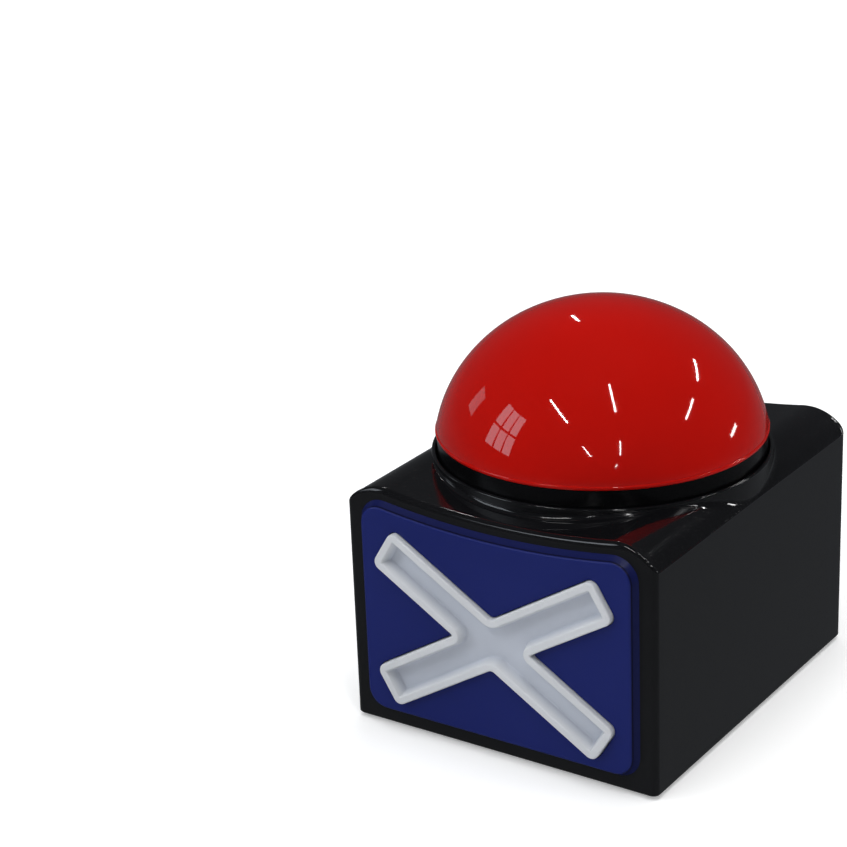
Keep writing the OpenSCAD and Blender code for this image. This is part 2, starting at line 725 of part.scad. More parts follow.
module cross_board() {
  color("#e8e8e4") placed() difference() {
    translate([0, cross_board_y - board_t / 2, cross_z]) cube([cross_board_w, board_t, cross_board_h], center = true);
    translate([0, cross_board_y + 1, 0]) cross_board_places() cylinder(r = screw_r + pass_gap, h = board_t + 2);
  }
}

module cross_board_leds() {
  color("#e9ecef", 0.8) placed() translate([0, cross_board_y - board_t, cross_z]) {
    rotate([90, 0, 0]) led(led_h);
    for (sx = [-1, 1], sz = [-1, 1]) translate([sx * 22, 0, sz * 22 * tan(arm_angle)]) rotate([90, 0, 0]) led(led_h);
  }
}

module cross_board_screws() {
  color("#9a9ca0") placed() translate([0, cross_board_y, 0]) cross_board_places() screw(board_t + 5);
}

// ---- button ----

function dome_curve(inset, z0) =
  let (high = dome_h + dome_sink - inset,
       wide = edge_r_dome / sqrt(1 - pow(dome_sink / (dome_h + dome_sink), 2)) - inset,
       start = asin((dome_sink + z0) / high))
  [for (i = [0:40]) let (a = start + (90 - start) * i / 40)
    [i == 40 ? 0 : wide * cos(a), high * sin(a) - dome_sink]];

module dome_places() { at_ring(skirt_r - skirt_wall - 6.8, 3) children(); }

module dome() {
  color("#c01414") placed() translate([0, 0, dome_z]) difference() {
    union() {
      rotate_extrude() polygon(concat(dome_curve(0, 0), reversed(dome_curve(dome_wall, 0))));
      intersection() {
        dome_places() translate([0, 0, web_z + web_t - dome_z + 0.05]) cylinder(r = 3, h = dome_h);
        union() {
          rotate_extrude() polygon(concat([[0, 0]], dome_curve(dome_wall / 2, 0)));
          translate([0, 0, -5]) cylinder(r = skirt_r - 5, h = 5.5);
        }
      }
    }
    dome_places() translate([0, 0, web_z + web_t - dome_z]) pilot(9);
  }
}

module button_carrier() {
  lip_r = dome_curve(dome_wall, 3)[0][0] - 0.3;
  color("#111113") placed() difference() {
    union() {
      rotate_extrude() polygon([[skirt_r - skirt_wall, skirt_foot], [skirt_r, skirt_foot], [skirt_r, dome_z],
                                [lip_r, dome_z], [lip_r, dome_z + 3], [lip_r - 2, dome_z + 3],
                                [lip_r - 2, web_z + web_t], [web_in_r, web_z + web_t], [web_in_r, web_z],
                                [skirt_r - skirt_wall, web_z]]);
      for (i = [0:2]) rotate(60 + 120 * i) translate([web_in_r / 2, 0, web_z + web_t / 2])
        cube([web_in_r + 2, 7, web_t], center = true);
      translate([0, 0, web_z]) cylinder(r = 6, h = web_t);
      guide_places() translate([0, 0, guide_foot]) cylinder(r = guide_r, h = web_z - guide_foot + 1);
    }
    guide_places() translate([0, 0, guide_foot - 1]) pilot(10);
    dome_places() translate([0, 0, web_z - 1]) cylinder(r = screw_r + pass_gap, h = web_t + 2);
  }
}

module dome_screws() { color("#9a9ca0") placed() dome_places() translate([0, 0, web_z]) screw(web_t + 7); }

module retaining_washers() {
  color("#b0b2b6") placed() guide_places() translate([0, 0, guide_foot - washer_t]) difference() {
    cylinder(r = washer_r, h = washer_t);
    translate([0, 0, -1]) cylinder(r = screw_r + pass_gap, h = washer_t + 2);
  }
}

module retaining_screws() {
  color("#9a9ca0") placed() guide_places() translate([0, 0, guide_foot - washer_t]) screw(washer_t + 8);
}

housing();
front_panel();
cross_lens();
panel_screws();
base_plate();
rubber_feet();
base_screws();
button_deck();
deck_screws();
return_springs();
light_board();
light_board_leds();
light_board_screws();
push_switch_body();
main_board();
sound_chip();
capacitors();
main_board_screws();
cross_board();
cross_board_leds();
cross_board_screws();
speaker_frame();
speaker_cone();
speaker_magnet();
speaker_screws();
battery_cells();
contact_springs();
contact_plates();
power_switch_body();
power_switch_screws();
battery_leads();
speaker_leads();
light_leads();
cross_leads();
power_leads();
dome();
button_carrier();
dome_screws();
retaining_washers();
retaining_screws();
switch_plunger();
power_switch_knob();
battery_door();
door_screws();
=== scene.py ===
# %% [markdown]
# # A quiz buzzer, dressed for its portrait
# This lesson takes a finished engineering model of a tabletop quiz buzzer (a black box with a
# dished top, a red dome on a spring, and a white cross on a blue front) and gives it its looks.
# The engineering model stays as it is: we load it as a fixed frame, measure it, and model finer
# pieces over the ones that show. Everything is in metres, with +Z up and the front towards -Y.

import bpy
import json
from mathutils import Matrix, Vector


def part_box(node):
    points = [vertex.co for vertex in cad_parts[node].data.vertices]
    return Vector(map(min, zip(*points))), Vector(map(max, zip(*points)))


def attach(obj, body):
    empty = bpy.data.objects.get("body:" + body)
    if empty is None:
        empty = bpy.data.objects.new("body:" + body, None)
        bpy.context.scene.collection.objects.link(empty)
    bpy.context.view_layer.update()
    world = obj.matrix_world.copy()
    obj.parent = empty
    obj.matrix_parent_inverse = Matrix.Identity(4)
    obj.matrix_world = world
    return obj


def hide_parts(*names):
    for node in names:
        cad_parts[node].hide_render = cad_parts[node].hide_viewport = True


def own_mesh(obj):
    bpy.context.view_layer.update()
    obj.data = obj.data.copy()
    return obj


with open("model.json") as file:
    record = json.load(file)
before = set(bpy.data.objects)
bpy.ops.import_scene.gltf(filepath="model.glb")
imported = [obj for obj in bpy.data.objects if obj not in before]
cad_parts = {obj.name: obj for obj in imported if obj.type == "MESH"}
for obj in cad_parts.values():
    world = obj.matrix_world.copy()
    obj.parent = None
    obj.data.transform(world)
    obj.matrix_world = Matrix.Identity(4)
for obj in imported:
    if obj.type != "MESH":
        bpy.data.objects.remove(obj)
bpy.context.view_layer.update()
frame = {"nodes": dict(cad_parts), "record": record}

import json
import math

import bmesh
import bpy
from mathutils import Matrix, Vector

MM = 0.001

# %% [markdown]
# ## Measures
# A good habit is to read sizes off the frame instead of typing them twice. The housing's box
# gives the plan and the height, and the dome's box gives the axis that all round pieces share.
# What a box cannot say, such as the radius of an arc, is written once here in millimetres.

# %% Places and sizes
HOUSING_LOW, HOUSING_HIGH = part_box("housing")
DOME_LOW, DOME_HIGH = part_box("dome")
PANEL_LOW, PANEL_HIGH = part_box("front_panel")
LENS_LOW, LENS_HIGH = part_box("cross_lens")

AXIS_X = (DOME_LOW.x + DOME_HIGH.x) / 2
AXIS_Y = (DOME_LOW.y + DOME_HIGH.y) / 2
HALF_WIDTH = (HOUSING_HIGH.x - HOUSING_LOW.x) / 2
HALF_DEPTH = (HOUSING_HIGH.y - HOUSING_LOW.y) / 2
UNDERSIDE_Z = HOUSING_LOW.z
RIM_Z = HOUSING_HIGH.z
WALL = 2.5 * MM
print("housing", [round(v / MM, 1) for v in (2 * HALF_WIDTH, 2 * HALF_DEPTH, RIM_Z)], "mm")

# %% [markdown]
# ## The camera
# The camera stands a good seventy centimetres away with a long lens, a little above the buzzer
# and to its right, so the upright edges stay almost parallel. Its place is given as two angles
# round the buzzer and a distance, and it leans by two degrees, as a camera held by hand does.

# %% Set up the camera
CAMERA_AZIMUTH = math.radians(35.016)
CAMERA_ELEVATION = math.radians(21.391)
CAMERA_LEAN = math.radians(-2.371)
CAMERA_PLACE = Vector((334.43, -564.92, 340.71)) * MM
CAMERA_LENS_MM = 103.79
CAMERA_SENSOR_MM = 36


def camera_axes(azimuth, elevation, lean):
    """The camera's own right, up and backward directions."""
    back = Vector((
        math.sin(azimuth) * math.cos(elevation),
        -math.cos(azimuth) * math.cos(elevation),
        math.sin(elevation),
    ))
    right = Vector((math.cos(azimuth), math.sin(azimuth), 0))
    up = back.cross(right)
    leaned_right = right * math.cos(lean) + up * math.sin(lean)
    leaned_up = up * math.cos(lean) - right * math.sin(lean)
    return leaned_right, leaned_up, back


camera_data = bpy.data.cameras.new("camera")
camera_data.sensor_width = CAMERA_SENSOR_MM
camera_data.lens = CAMERA_LENS_MM
camera_data.clip_start = 0.01
camera_data.clip_end = 50
camera = bpy.data.objects.new("camera", camera_data)
bpy.context.scene.collection.objects.link(camera)
turn = Matrix(camera_axes(CAMERA_AZIMUTH, CAMERA_ELEVATION, CAMERA_LEAN)).transposed()
camera.matrix_world = Matrix.Translation(CAMERA_PLACE) @ turn.to_4x4()
bpy.context.scene.camera = camera
print("camera stands", round(CAMERA_PLACE.length, 3), "m from the buzzer's foot")

# %% [markdown]
# ## A few node helpers
# Lights, floor and finishes are all built from nodes, and the same few come back again and
# again: some noise, a sum, a stretch from one range to another, a mix of two colours, and the
# question how far a surface faces one way. Each gets a short helper that hands back a socket.

# %% Helpers for nodes
def noise(tree, place, scale, detail):
    """A noise texture at a place; scale is a number, or a socket that gives it."""
    node = tree.nodes.new("ShaderNodeTexNoise")
    node.inputs["Detail"].default_value = detail
    tree.links.new(place, node.inputs["Vector"])
    if isinstance(scale, (int, float)):
        node.inputs["Scale"].default_value = scale
    else:
        tree.links.new(scale, node.inputs["Scale"])
    return node.outputs["Fac"]


def maths(tree, kind, first, second):
    """A maths node; each term is a number or a socket."""
    node = tree.nodes.new("ShaderNodeMath")
    node.operation = kind
    for slot_number, term in enumerate((first, second)):
        if isinstance(term, (int, float)):
            node.inputs[slot_number].default_value = term
        else:
            tree.links.new(term, node.inputs[slot_number])
    return node.outputs["Value"]


def remap(tree, value, low, high, to_low, to_high):
    """Stretches low..high to to_low..to_high, and clamps; the last two may be sockets."""
    node = tree.nodes.new("ShaderNodeMapRange")
    tree.links.new(value, node.inputs["Value"])
    for socket_name, term in zip(
        ("From Min", "From Max", "To Min", "To Max"), (low, high, to_low, to_high)
    ):
        if isinstance(term, (int, float)):
            node.inputs[socket_name].default_value = term
        else:
            tree.links.new(term, node.inputs[socket_name])
    return node.outputs["Result"]


def mix_colour(tree, factor, first, second):
    """Mixes two colour sockets by a factor."""
    node = tree.nodes.new("ShaderNodeMix")
    node.data_type = "RGBA"
    tree.links.new(factor, node.inputs["Factor"])
    tree.links.new(first, node.inputs["A"])
    tree.links.new(second, node.inputs["B"])
    return node.outputs["Result"]


def axis_of(tree, vector, axis):
    """One axis, X, Y or Z, of a vector socket."""
    node = tree.nodes.new("ShaderNodeSeparateXYZ")
    tree.links.new(vector, node.inputs["Vector"])
    return node.outputs[axis]


def normal_axis(tree, axis):
    """How far the surface faces along an axis, from -1 to 1."""
    return axis_of(tree, tree.nodes.new("ShaderNodeNewGeometry").outputs["Normal"], axis)


def seen_by_camera(tree):
    """1 for what the camera sees directly, and 0 for reflections and bounced light."""
    return tree.nodes.new("ShaderNodeLightPath").outputs["Is Camera Ray"]

# %% [markdown]
# ## The studio
# A black gloss object shows its surroundings more than itself, so the light is built in two
# layers. Large soft panels that mirrors cannot see give the even light. Thin tubes, a window
# and a dim room are what the gloss reflects: each is placed by the direction that it comes
# from, seen from the dome, so its streak lands on the right part of the curve. To the camera
# alone, the floor glows a little and more so far away, and the room is pale, so the buzzer
# stands on a plain near-white sweep from every side.

# %% The floor
FLOOR_SIZE = 8
FLOOR_DROP = 0.05 * MM
GLOW_REACH = (0.3, 1.4)
GLOW_STRENGTH = (0.30, 1.0)

bpy.ops.mesh.primitive_plane_add(size=FLOOR_SIZE, location=(0, 0, -FLOOR_DROP))
floor = bpy.context.object
floor.name = "studio_floor"
floor.visible_glossy = False

floor_paint = bpy.data.materials.new("studio_floor_paint")
floor_paint.use_nodes = True
floor_shader = floor_paint.node_tree.nodes["Principled BSDF"]
floor_shader.inputs["Base Color"].default_value = (0.90, 0.90, 0.90, 1)
floor_shader.inputs["Roughness"].default_value = 0.9
floor_shader.inputs["Specular IOR Level"].default_value = 0.1
floor_shader.inputs["Emission Color"].default_value = (1, 1, 1, 1)
floor_tree = floor_paint.node_tree
floor_far = floor_tree.nodes.new("ShaderNodeVectorMath")
floor_far.operation = "LENGTH"
floor_tree.links.new(floor_tree.nodes.new("ShaderNodeTexCoord").outputs["Object"],
                     floor_far.inputs[0])
floor_glow = remap(floor_tree, floor_far.outputs["Value"], *GLOW_REACH, *GLOW_STRENGTH)
floor_tree.links.new(maths(floor_tree, "MULTIPLY", floor_glow, seen_by_camera(floor_tree)),
                     floor_shader.inputs["Emission Strength"])
floor.data.materials.append(floor_paint)

# %% The room
ROOM_BLEND = (-0.25, 0.05)
ROOM_STRENGTH = (0.16, 0.07)
ROOM_SEEN = 1.12

room = bpy.data.worlds.new("dim_room")
room.use_nodes = True
room_tree = room.node_tree
background = room_tree.nodes["Background"]
background.inputs["Color"].default_value = (0.88, 0.93, 1.0, 1)
room_up = axis_of(room_tree, room_tree.nodes.new("ShaderNodeTexCoord").outputs["Generated"], "Z")
room_dim = remap(room_tree, room_up, *ROOM_BLEND, *ROOM_STRENGTH)
room_pale = maths(room_tree, "MULTIPLY", seen_by_camera(room_tree), ROOM_SEEN)
room_tree.links.new(maths(room_tree, "MAXIMUM", room_dim, room_pale),
                    background.inputs["Strength"])
bpy.context.scene.world = room
bpy.context.scene.view_settings.view_transform = "Standard"

# %% [markdown]
# Every lamp is a flat panel that looks at the dome. It is given by the directions of its two
# ends, because a streak on a curved gloss surface is the mirror image of the lamp's long side.

# %% Lamps placed by direction
DOME_HEART = Vector((AXIS_X, AXIS_Y, DOME_LOW.z))


def direction(azimuth, elevation):
    """The unit vector towards an azimuth (0 is the front, 90 the right) and an elevation."""
    a, e = math.radians(azimuth), math.radians(elevation)
    return Vector((math.sin(a) * math.cos(e), -math.cos(a) * math.cos(e), math.sin(e)))


def panel_lamp(name, start, end, distance, width, power, colour=(1, 1, 1), shiny=True):
    """A flat lamp whose long side runs between two directions, facing the dome."""
    first = DOME_HEART + direction(*start) * distance
    last = DOME_HEART + direction(*end) * distance
    middle = (first + last) / 2
    long_way = (last - first).normalized()
    away = (middle - DOME_HEART).normalized()
    away = (away - long_way * away.dot(long_way)).normalized()
    data = bpy.data.lights.new(name, "AREA")
    data.shape = "RECTANGLE"
    data.size = (last - first).length
    data.size_y = width
    data.energy = power
    data.color = colour
    lamp = bpy.data.objects.new(name, data)
    axes = Matrix((long_way, away.cross(long_way), away)).transposed()
    lamp.matrix_world = Matrix.Translation(middle) @ axes.to_4x4()
    lamp.visible_glossy = shiny
    bpy.context.scene.collection.objects.link(lamp)
    return lamp


# name, start and end as (azimuth, elevation), distance and width in metres, power in watts
SOFT_PANELS = [
    ("soft_overhead", (-90, 70), (90, 70), 1.6, 1.4, 13),
    ("soft_left", (-75, 30), (-35, 30), 1.5, 0.9, 2.6),
    ("soft_front", (-10, 24), (40, 24), 1.9, 0.9, 0.5),
    ("soft_right", (70, 30), (120, 30), 2.0, 0.9, 0.8),
    ("soft_back", (160, 34), (220, 34), 1.8, 0.9, 4),
]
TUBES = [
    ("tube_front", (-28.8, 54.5), (0.0, 44.5), 1.5, 0.026, 3),
    ("tube_high", (48.2, 75.3), (45.2, 54.5), 1.5, 0.026, 2.6),
    ("tube_right", (119.7, 37.1), (101.6, 32.2), 1.5, 0.026, 2),
    ("tube_right_back", (157.6, 36.7), (138.2, 37.4), 1.5, 0.026, 2),
    ("tube_top_left", (-138.4, 36.5), (-138.7, 45.2), 1.6, 0.022, 0.6),
    ("tube_low_left", (16.4, 29.7), (22.7, 22.6), 1.6, 0.020, 0.7),
    ("tube_low_middle", (44.5, 33.1), (43.2, 22.8), 1.6, 0.020, 0.9),
    ("tube_low_dot", (40.6, 16.4), (39.2, 14.6), 1.6, 0.022, 0.15),
    ("tube_far", (137.7, 7.1), (128.8, 5.5), 1.8, 0.060, 1.2),
]

# %% The window, one lamp for each pane
PANE_COLUMNS = [(-57.5, -50.5), (-49.2, -42.6), (-41.4, -35.0)]
PANE_ROWS = [(10.0, 22.0), (23.4, 36.0)]
PANE_DISTANCE = 1.7
PANE_POWER = 0.75
DAYLIGHT = (0.85, 0.92, 1.0)


def window_pane(name, column, row):
    """One pane of the window, between two azimuths and two elevations."""
    middle_row = (row[0] + row[1]) / 2
    height = PANE_DISTANCE * math.radians(row[1] - row[0])
    return panel_lamp(name, (column[0], middle_row), (column[1], middle_row), PANE_DISTANCE,
                      height, PANE_POWER, colour=DAYLIGHT)


for lamp_row in SOFT_PANELS:
    panel_lamp(*lamp_row, shiny=False)
for lamp_row in TUBES:
    panel_lamp(*lamp_row)
for column in PANE_COLUMNS:
    for row in PANE_ROWS:
        window_pane(f"window_pane_{len(bpy.data.lights)}", column, row)
panel_lamp("window_far", (-88.0, 18.0), (-79.0, 18.0), PANE_DISTANCE, 0.36, 0.35, DAYLIGHT)
print("lamps:", len(bpy.data.lights))

# %% [markdown]
# ## Effects that several finishes share
# A shader node group is a small machine with named sockets: build it once, then drop it into
# any material with its own settings. Injection-moulded plastic is never one flat colour: it has
# faint flow mottling, a fine grain from the mould, and a sheen that changes from place to place.
# The first group makes all three from noise. The others add hair-fine scratches and settled dust.

# %% A helper that makes a group with named sockets
SOCKETS = {"value": "NodeSocketFloat", "colour": "NodeSocketColor"}


def new_group(name, inputs, outputs):
    """An empty shader node group: inputs are (name, kind, value), outputs (name, kind)."""
    group = bpy.data.node_groups.new(name, "ShaderNodeTree")
    for socket_name, kind, value in inputs:
        socket = group.interface.new_socket(
            name=socket_name, in_out="INPUT", socket_type=SOCKETS[kind]
        )
        socket.default_value = value
    for socket_name, kind in outputs:
        group.interface.new_socket(
            name=socket_name, in_out="OUTPUT", socket_type=SOCKETS[kind]
        )
    into = group.nodes.new("NodeGroupInput")
    out = group.nodes.new("NodeGroupOutput")
    return group, into.outputs, out.inputs


# %% Moulded plastic
moulded, given, made = new_group(
    "moulded_plastic",
    [
        ("Light tone", "colour", (0.8, 0.8, 0.8, 1)),
        ("Dark tone", "colour", (0.7, 0.7, 0.7, 1)),
        ("Flow scale", "value", 30.0),
        ("Grain scale", "value", 2500.0),
        ("Roughness low", "value", 0.2),
        ("Roughness high", "value", 0.35),
    ],
    [("Colour", "colour"), ("Roughness", "value"), ("Height", "value")],
)
place = moulded.nodes.new("ShaderNodeTexCoord").outputs["Object"]
flow = remap(moulded, noise(moulded, place, given["Flow scale"], 3.0), 0.35, 0.65, 0.0, 1.0)
grain = noise(moulded, place, given["Grain scale"], 2.0)
sheen = maths(moulded, "ADD", maths(moulded, "MULTIPLY", flow, 0.6),
              maths(moulded, "MULTIPLY", grain, 0.4))
moulded.links.new(mix_colour(moulded, flow, given["Dark tone"], given["Light tone"]),
                  made["Colour"])
moulded.links.new(
    remap(moulded, sheen, 0.1, 0.9, given["Roughness low"], given["Roughness high"]),
    made["Roughness"],
)
moulded.links.new(grain, made["Height"])

# %% [markdown]
# Noise squeezed along one direction turns into long thin lines. Two sets that cross at an
# angle look like handling marks.

# %% Hair-fine scratches
scratches, given, made = new_group(
    "hair_scratches",
    [("Roughness in", "value", 0.1), ("Amount", "value", 0.15), ("Scale", "value", 90.0)],
    [("Roughness", "value"), ("Height", "value")],
)
place = scratches.nodes.new("ShaderNodeTexCoord").outputs["Object"]
marks = []
for turn_about_z, turn_about_x in ((0.5, 0.3), (-0.9, 1.1)):
    squeeze = scratches.nodes.new("ShaderNodeMapping")
    squeeze.inputs["Rotation"].default_value = (turn_about_x, 0.2, turn_about_z)
    squeeze.inputs["Scale"].default_value = (0.25, 22.0, 22.0)
    scratches.links.new(place, squeeze.inputs["Vector"])
    line = noise(scratches, squeeze.outputs["Vector"], given["Scale"], 1.0)
    marks.append(remap(scratches, line, 0.68, 0.74, 0.0, 1.0))
mark = maths(scratches, "MAXIMUM", marks[0], marks[1])
scratches.links.new(
    maths(scratches, "ADD", given["Roughness in"],
          maths(scratches, "MULTIPLY", mark, given["Amount"])),
    made["Roughness"],
)
scratches.links.new(maths(scratches, "SUBTRACT", 1.0, mark), made["Height"])

# %% [markdown]
# Dust settles on what faces up, in a broken layer of small specks.

# %% Settled dust
dust, given, made = new_group(
    "settled_dust",
    [
        ("Clean colour", "colour", (0, 0, 0, 1)),
        ("Dust colour", "colour", (0.35, 0.34, 0.32, 1)),
        ("Amount", "value", 0.1),
    ],
    [("Colour", "colour"), ("Mask", "value")],
)
place = dust.nodes.new("ShaderNodeTexCoord").outputs["Object"]
upward = remap(dust, normal_axis(dust, "Z"), 0.2, 0.95, 0.0, 1.0)
specks = remap(dust, noise(dust, place, 1400.0, 3.0), 0.62, 0.74, 0.0, 1.0)
drifts = remap(dust, noise(dust, place, 45.0, 3.0), 0.35, 0.7, 0.0, 1.0)
layer = maths(dust, "MULTIPLY", maths(dust, "MULTIPLY", upward, specks),
              maths(dust, "MULTIPLY", drifts, given["Amount"]))
dust.links.new(mix_colour(dust, layer, given["Clean colour"], given["Dust colour"]),
               made["Colour"])
dust.links.new(layer, made["Mask"])
print("shared effects:", [g.name for g in bpy.data.node_groups])

# %% [markdown]
# A tint multiplies a colour, but only where a mask asks for it. Below it paints shade into two
# finishes: the floor of the cross's tray and the panel's sides.

# %% Tint
tint, given, made = new_group(
    "tint",
    [("Colour in", "colour", (0.5, 0.5, 0.5, 1)), ("Tint", "colour", (1, 1, 1, 1)),
     ("Amount", "value", 0.0)],
    [("Colour", "colour")],
)
tinted = tint.nodes.new("ShaderNodeVectorMath")
tinted.operation = "MULTIPLY"
tint.links.new(given["Colour in"], tinted.inputs[0])
tint.links.new(given["Tint"], tinted.inputs[1])
tint.links.new(mix_colour(tint, given["Amount"], given["Colour in"], tinted.outputs["Vector"]),
               made["Colour"])

# %% [markdown]
# ## Finishes
# Each finish is a Principled BSDF fed by the groups above. What is the same all over, such as
# the specular level or the metal, is set straight on the shader. One function makes a
# plastic and another a metal, so a finish is one line of values that read like a paint card.

# %% The plastic maker
def shade(colour, factor):
    """The colour, lighter or darker by a factor, with full opacity."""
    return (*(min(1.0, c * factor) for c in colour), 1)


def place_group(tree, group, **values):
    """Puts a group node in a material and sets its sockets by name (with _ for a space)."""
    node = tree.nodes.new("ShaderNodeGroup")
    node.node_tree = group
    for socket_name, value in values.items():
        node.inputs[socket_name.replace("_", " ")].default_value = value
    return node


def bump(tree, height, shader, depth):
    """Feeds a height into the shader's normal; depth is in metres."""
    node = tree.nodes.new("ShaderNodeBump")
    node.inputs["Strength"].default_value = 1.0
    node.inputs["Distance"].default_value = depth
    tree.links.new(height, node.inputs["Height"])
    tree.links.new(node.outputs["Normal"], shader.inputs["Normal"])


def plastic(name, colour, rough, flow=30.0, grain=2500.0, depth=0.004, vary=0.12,
            specular=0.4, dusty=0.0, scratched=0.0):
    """Moulded plastic: rough is (low, high) and depth is the grain's height in mm."""
    material = bpy.data.materials.new(name)
    material.use_nodes = True
    tree = material.node_tree
    shader = tree.nodes["Principled BSDF"]
    shader.inputs["Specular IOR Level"].default_value = specular
    skin = place_group(
        tree, moulded, Light_tone=shade(colour, 1 + vary), Dark_tone=shade(colour, 1 - vary),
        Flow_scale=flow, Grain_scale=grain, Roughness_low=rough[0], Roughness_high=rough[1],
    )
    paint, sheen = skin.outputs["Colour"], skin.outputs["Roughness"]
    if scratched:
        marks = place_group(tree, scratches, Amount=scratched)
        tree.links.new(sheen, marks.inputs["Roughness in"])
        sheen = marks.outputs["Roughness"]
    if dusty:
        settled = place_group(tree, dust, Amount=dusty)
        tree.links.new(paint, settled.inputs["Clean colour"])
        paint = settled.outputs["Colour"]
        sheen = maths(tree, "ADD", sheen, settled.outputs["Mask"])
    tree.links.new(paint, shader.inputs["Base Color"])
    tree.links.new(sheen, shader.inputs["Roughness"])
    bump(tree, skin.outputs["Height"], shader, depth * MM)
    return material


# %% The metal maker
METAL_SCRATCHED = 0.15
METAL_GRAIN = 900.0
METAL_DEPTH = 0.002


def metal(name, colour, rough):
    """Plated or drawn metal: a plain metallic shader with a mottled, scratched sheen."""
    material = bpy.data.materials.new(name)
    material.use_nodes = True
    tree = material.node_tree
    shader = tree.nodes["Principled BSDF"]
    shader.inputs["Metallic"].default_value = 1.0
    skin = place_group(
        tree, moulded, Light_tone=shade(colour, 1.08), Dark_tone=shade(colour, 0.86),
        Flow_scale=160.0, Grain_scale=METAL_GRAIN, Roughness_low=rough[0], Roughness_high=rough[1],
    )
    marks = place_group(tree, scratches, Amount=METAL_SCRATCHED, Scale=260.0)
    tree.links.new(skin.outputs["Roughness"], marks.inputs["Roughness in"])
    tree.links.new(skin.outputs["Colour"], shader.inputs["Base Color"])
    tree.links.new(marks.outputs["Roughness"], shader.inputs["Roughness"])
    bump(tree, marks.outputs["Height"], shader, METAL_DEPTH * MM)
    return material


# %% [markdown]
# The housing is one black plastic with two skins, as a mould can have: polished on the dished
# top and collar, where it mirrors the dome, and a fine satin on the upright sides. The mask
# between them is simply how far the surface faces up.

# %% Black housing plastic
case_black = plastic(
    "case_black", (0.0042, 0.0042, 0.0050), (0.05, 0.11), flow=22.0, grain=3200.0,
    depth=0.0012, vary=0.2, specular=0.5, dusty=0.06, scratched=0.10,
)
UPRIGHT = (0.02, 0.30)
SATIN_EXTRA = 0.24

case_tree = case_black.node_tree
case_shader = case_tree.nodes["Principled BSDF"]
gloss = case_shader.inputs["Roughness"].links[0].from_socket
satin = remap(case_tree, normal_axis(case_tree, "Z"), *UPRIGHT, SATIN_EXTRA, 0.0)
case_tree.links.new(maths(case_tree, "ADD", gloss, satin), case_shader.inputs["Roughness"])

# %% All the other finishes
finishes = {
    "black_gloss": case_black,
    "blue_panel": plastic("panel_blue", (0.0072, 0.0145, 0.130), (0.31, 0.38), flow=16.0,
                          grain=2600.0, depth=0.002, vary=0.05, specular=0.22),
    "white_lens": plastic("cross_white", (0.64, 0.655, 0.68), (0.30, 0.42), flow=40.0,
                          grain=1800.0, depth=0.002, vary=0.03, specular=0.35),
    "red_dome": plastic("dome_red", (0.46, 0.0040, 0.0014), (0.03, 0.055), flow=14.0,
                        grain=700.0, depth=0.0004, vary=0.06, specular=0.42, scratched=0.05),
    "black_satin": plastic("skirt_black", (0.003, 0.003, 0.0035), (0.14, 0.24), grain=3000.0,
                           depth=0.002, specular=0.12),
    "black_matte": plastic("base_black", (0.012, 0.012, 0.013), (0.42, 0.60), flow=40.0,
                           grain=1600.0, depth=0.012, vary=0.25, specular=0.35),
    "dark_deck": plastic("deck_grey", (0.035, 0.037, 0.040), (0.45, 0.60), grain=1800.0,
                         depth=0.008),
    "foot_rubber": plastic("foot_rubber", (0.020, 0.020, 0.021), (0.70, 0.88), flow=90.0,
                           grain=1200.0, depth=0.02, vary=0.3, specular=0.3, dusty=0.1),
    "white_board": plastic("board_white", (0.72, 0.74, 0.72), (0.30, 0.42), grain=2200.0),
    "green_board": plastic("board_green", (0.010, 0.110, 0.040), (0.22, 0.40), flow=120.0,
                           grain=2600.0, depth=0.006, vary=0.25),
    "led_clear": plastic("led_resin", (0.80, 0.82, 0.84), (0.05, 0.12), vary=0.03,
                         specular=0.6),
    "switch_plastic": plastic("switch_white", (0.66, 0.65, 0.62), (0.35, 0.48)),
    "chip_resin": plastic("chip_black", (0.010, 0.010, 0.011), (0.25, 0.42), grain=2600.0,
                          depth=0.006),
    "capacitor_sleeve": plastic("capacitor_blue", (0.010, 0.035, 0.160), (0.22, 0.34)),
    "cone_paper": plastic("cone_paper", (0.030, 0.029, 0.028), (0.75, 0.90), flow=260.0,
                          grain=900.0, depth=0.05, vary=0.35, specular=0.2),
    "magnet_black": plastic("magnet_ferrite", (0.030, 0.030, 0.032), (0.45, 0.65),
                            flow=200.0, grain=1500.0, depth=0.02, vary=0.3),
    "cell_sleeve": plastic("cell_sleeve", (0.020, 0.060, 0.200), (0.18, 0.28), flow=60.0,
                           vary=0.08, scratched=0.12),
    "switch_case": plastic("switch_case", (0.014, 0.014, 0.015), (0.38, 0.52)),
    "plunger_yellow": plastic("plunger_yellow", (0.70, 0.36, 0.02), (0.32, 0.44)),
    "knob_white": plastic("knob_white", (0.64, 0.64, 0.62), (0.32, 0.45), grain=1500.0,
                          depth=0.01),
    "wire_sleeve": plastic("wire_red", (0.45, 0.014, 0.010), (0.32, 0.45), flow=150.0),
    "wire_sleeve_black": plastic("wire_black", (0.012, 0.012, 0.012), (0.35, 0.48),
                                 flow=150.0),
    "screw_steel": metal("screw_steel", (0.56, 0.56, 0.55), (0.22, 0.40)),
    "spring_wire": metal("spring_steel", (0.62, 0.60, 0.57), (0.18, 0.30)),
    "contact_nickel": metal("contact_nickel", (0.68, 0.65, 0.60), (0.20, 0.34)),
    "speaker_steel": metal("speaker_steel", (0.50, 0.50, 0.50), (0.28, 0.45)),
}
print("finishes:", len(finishes))
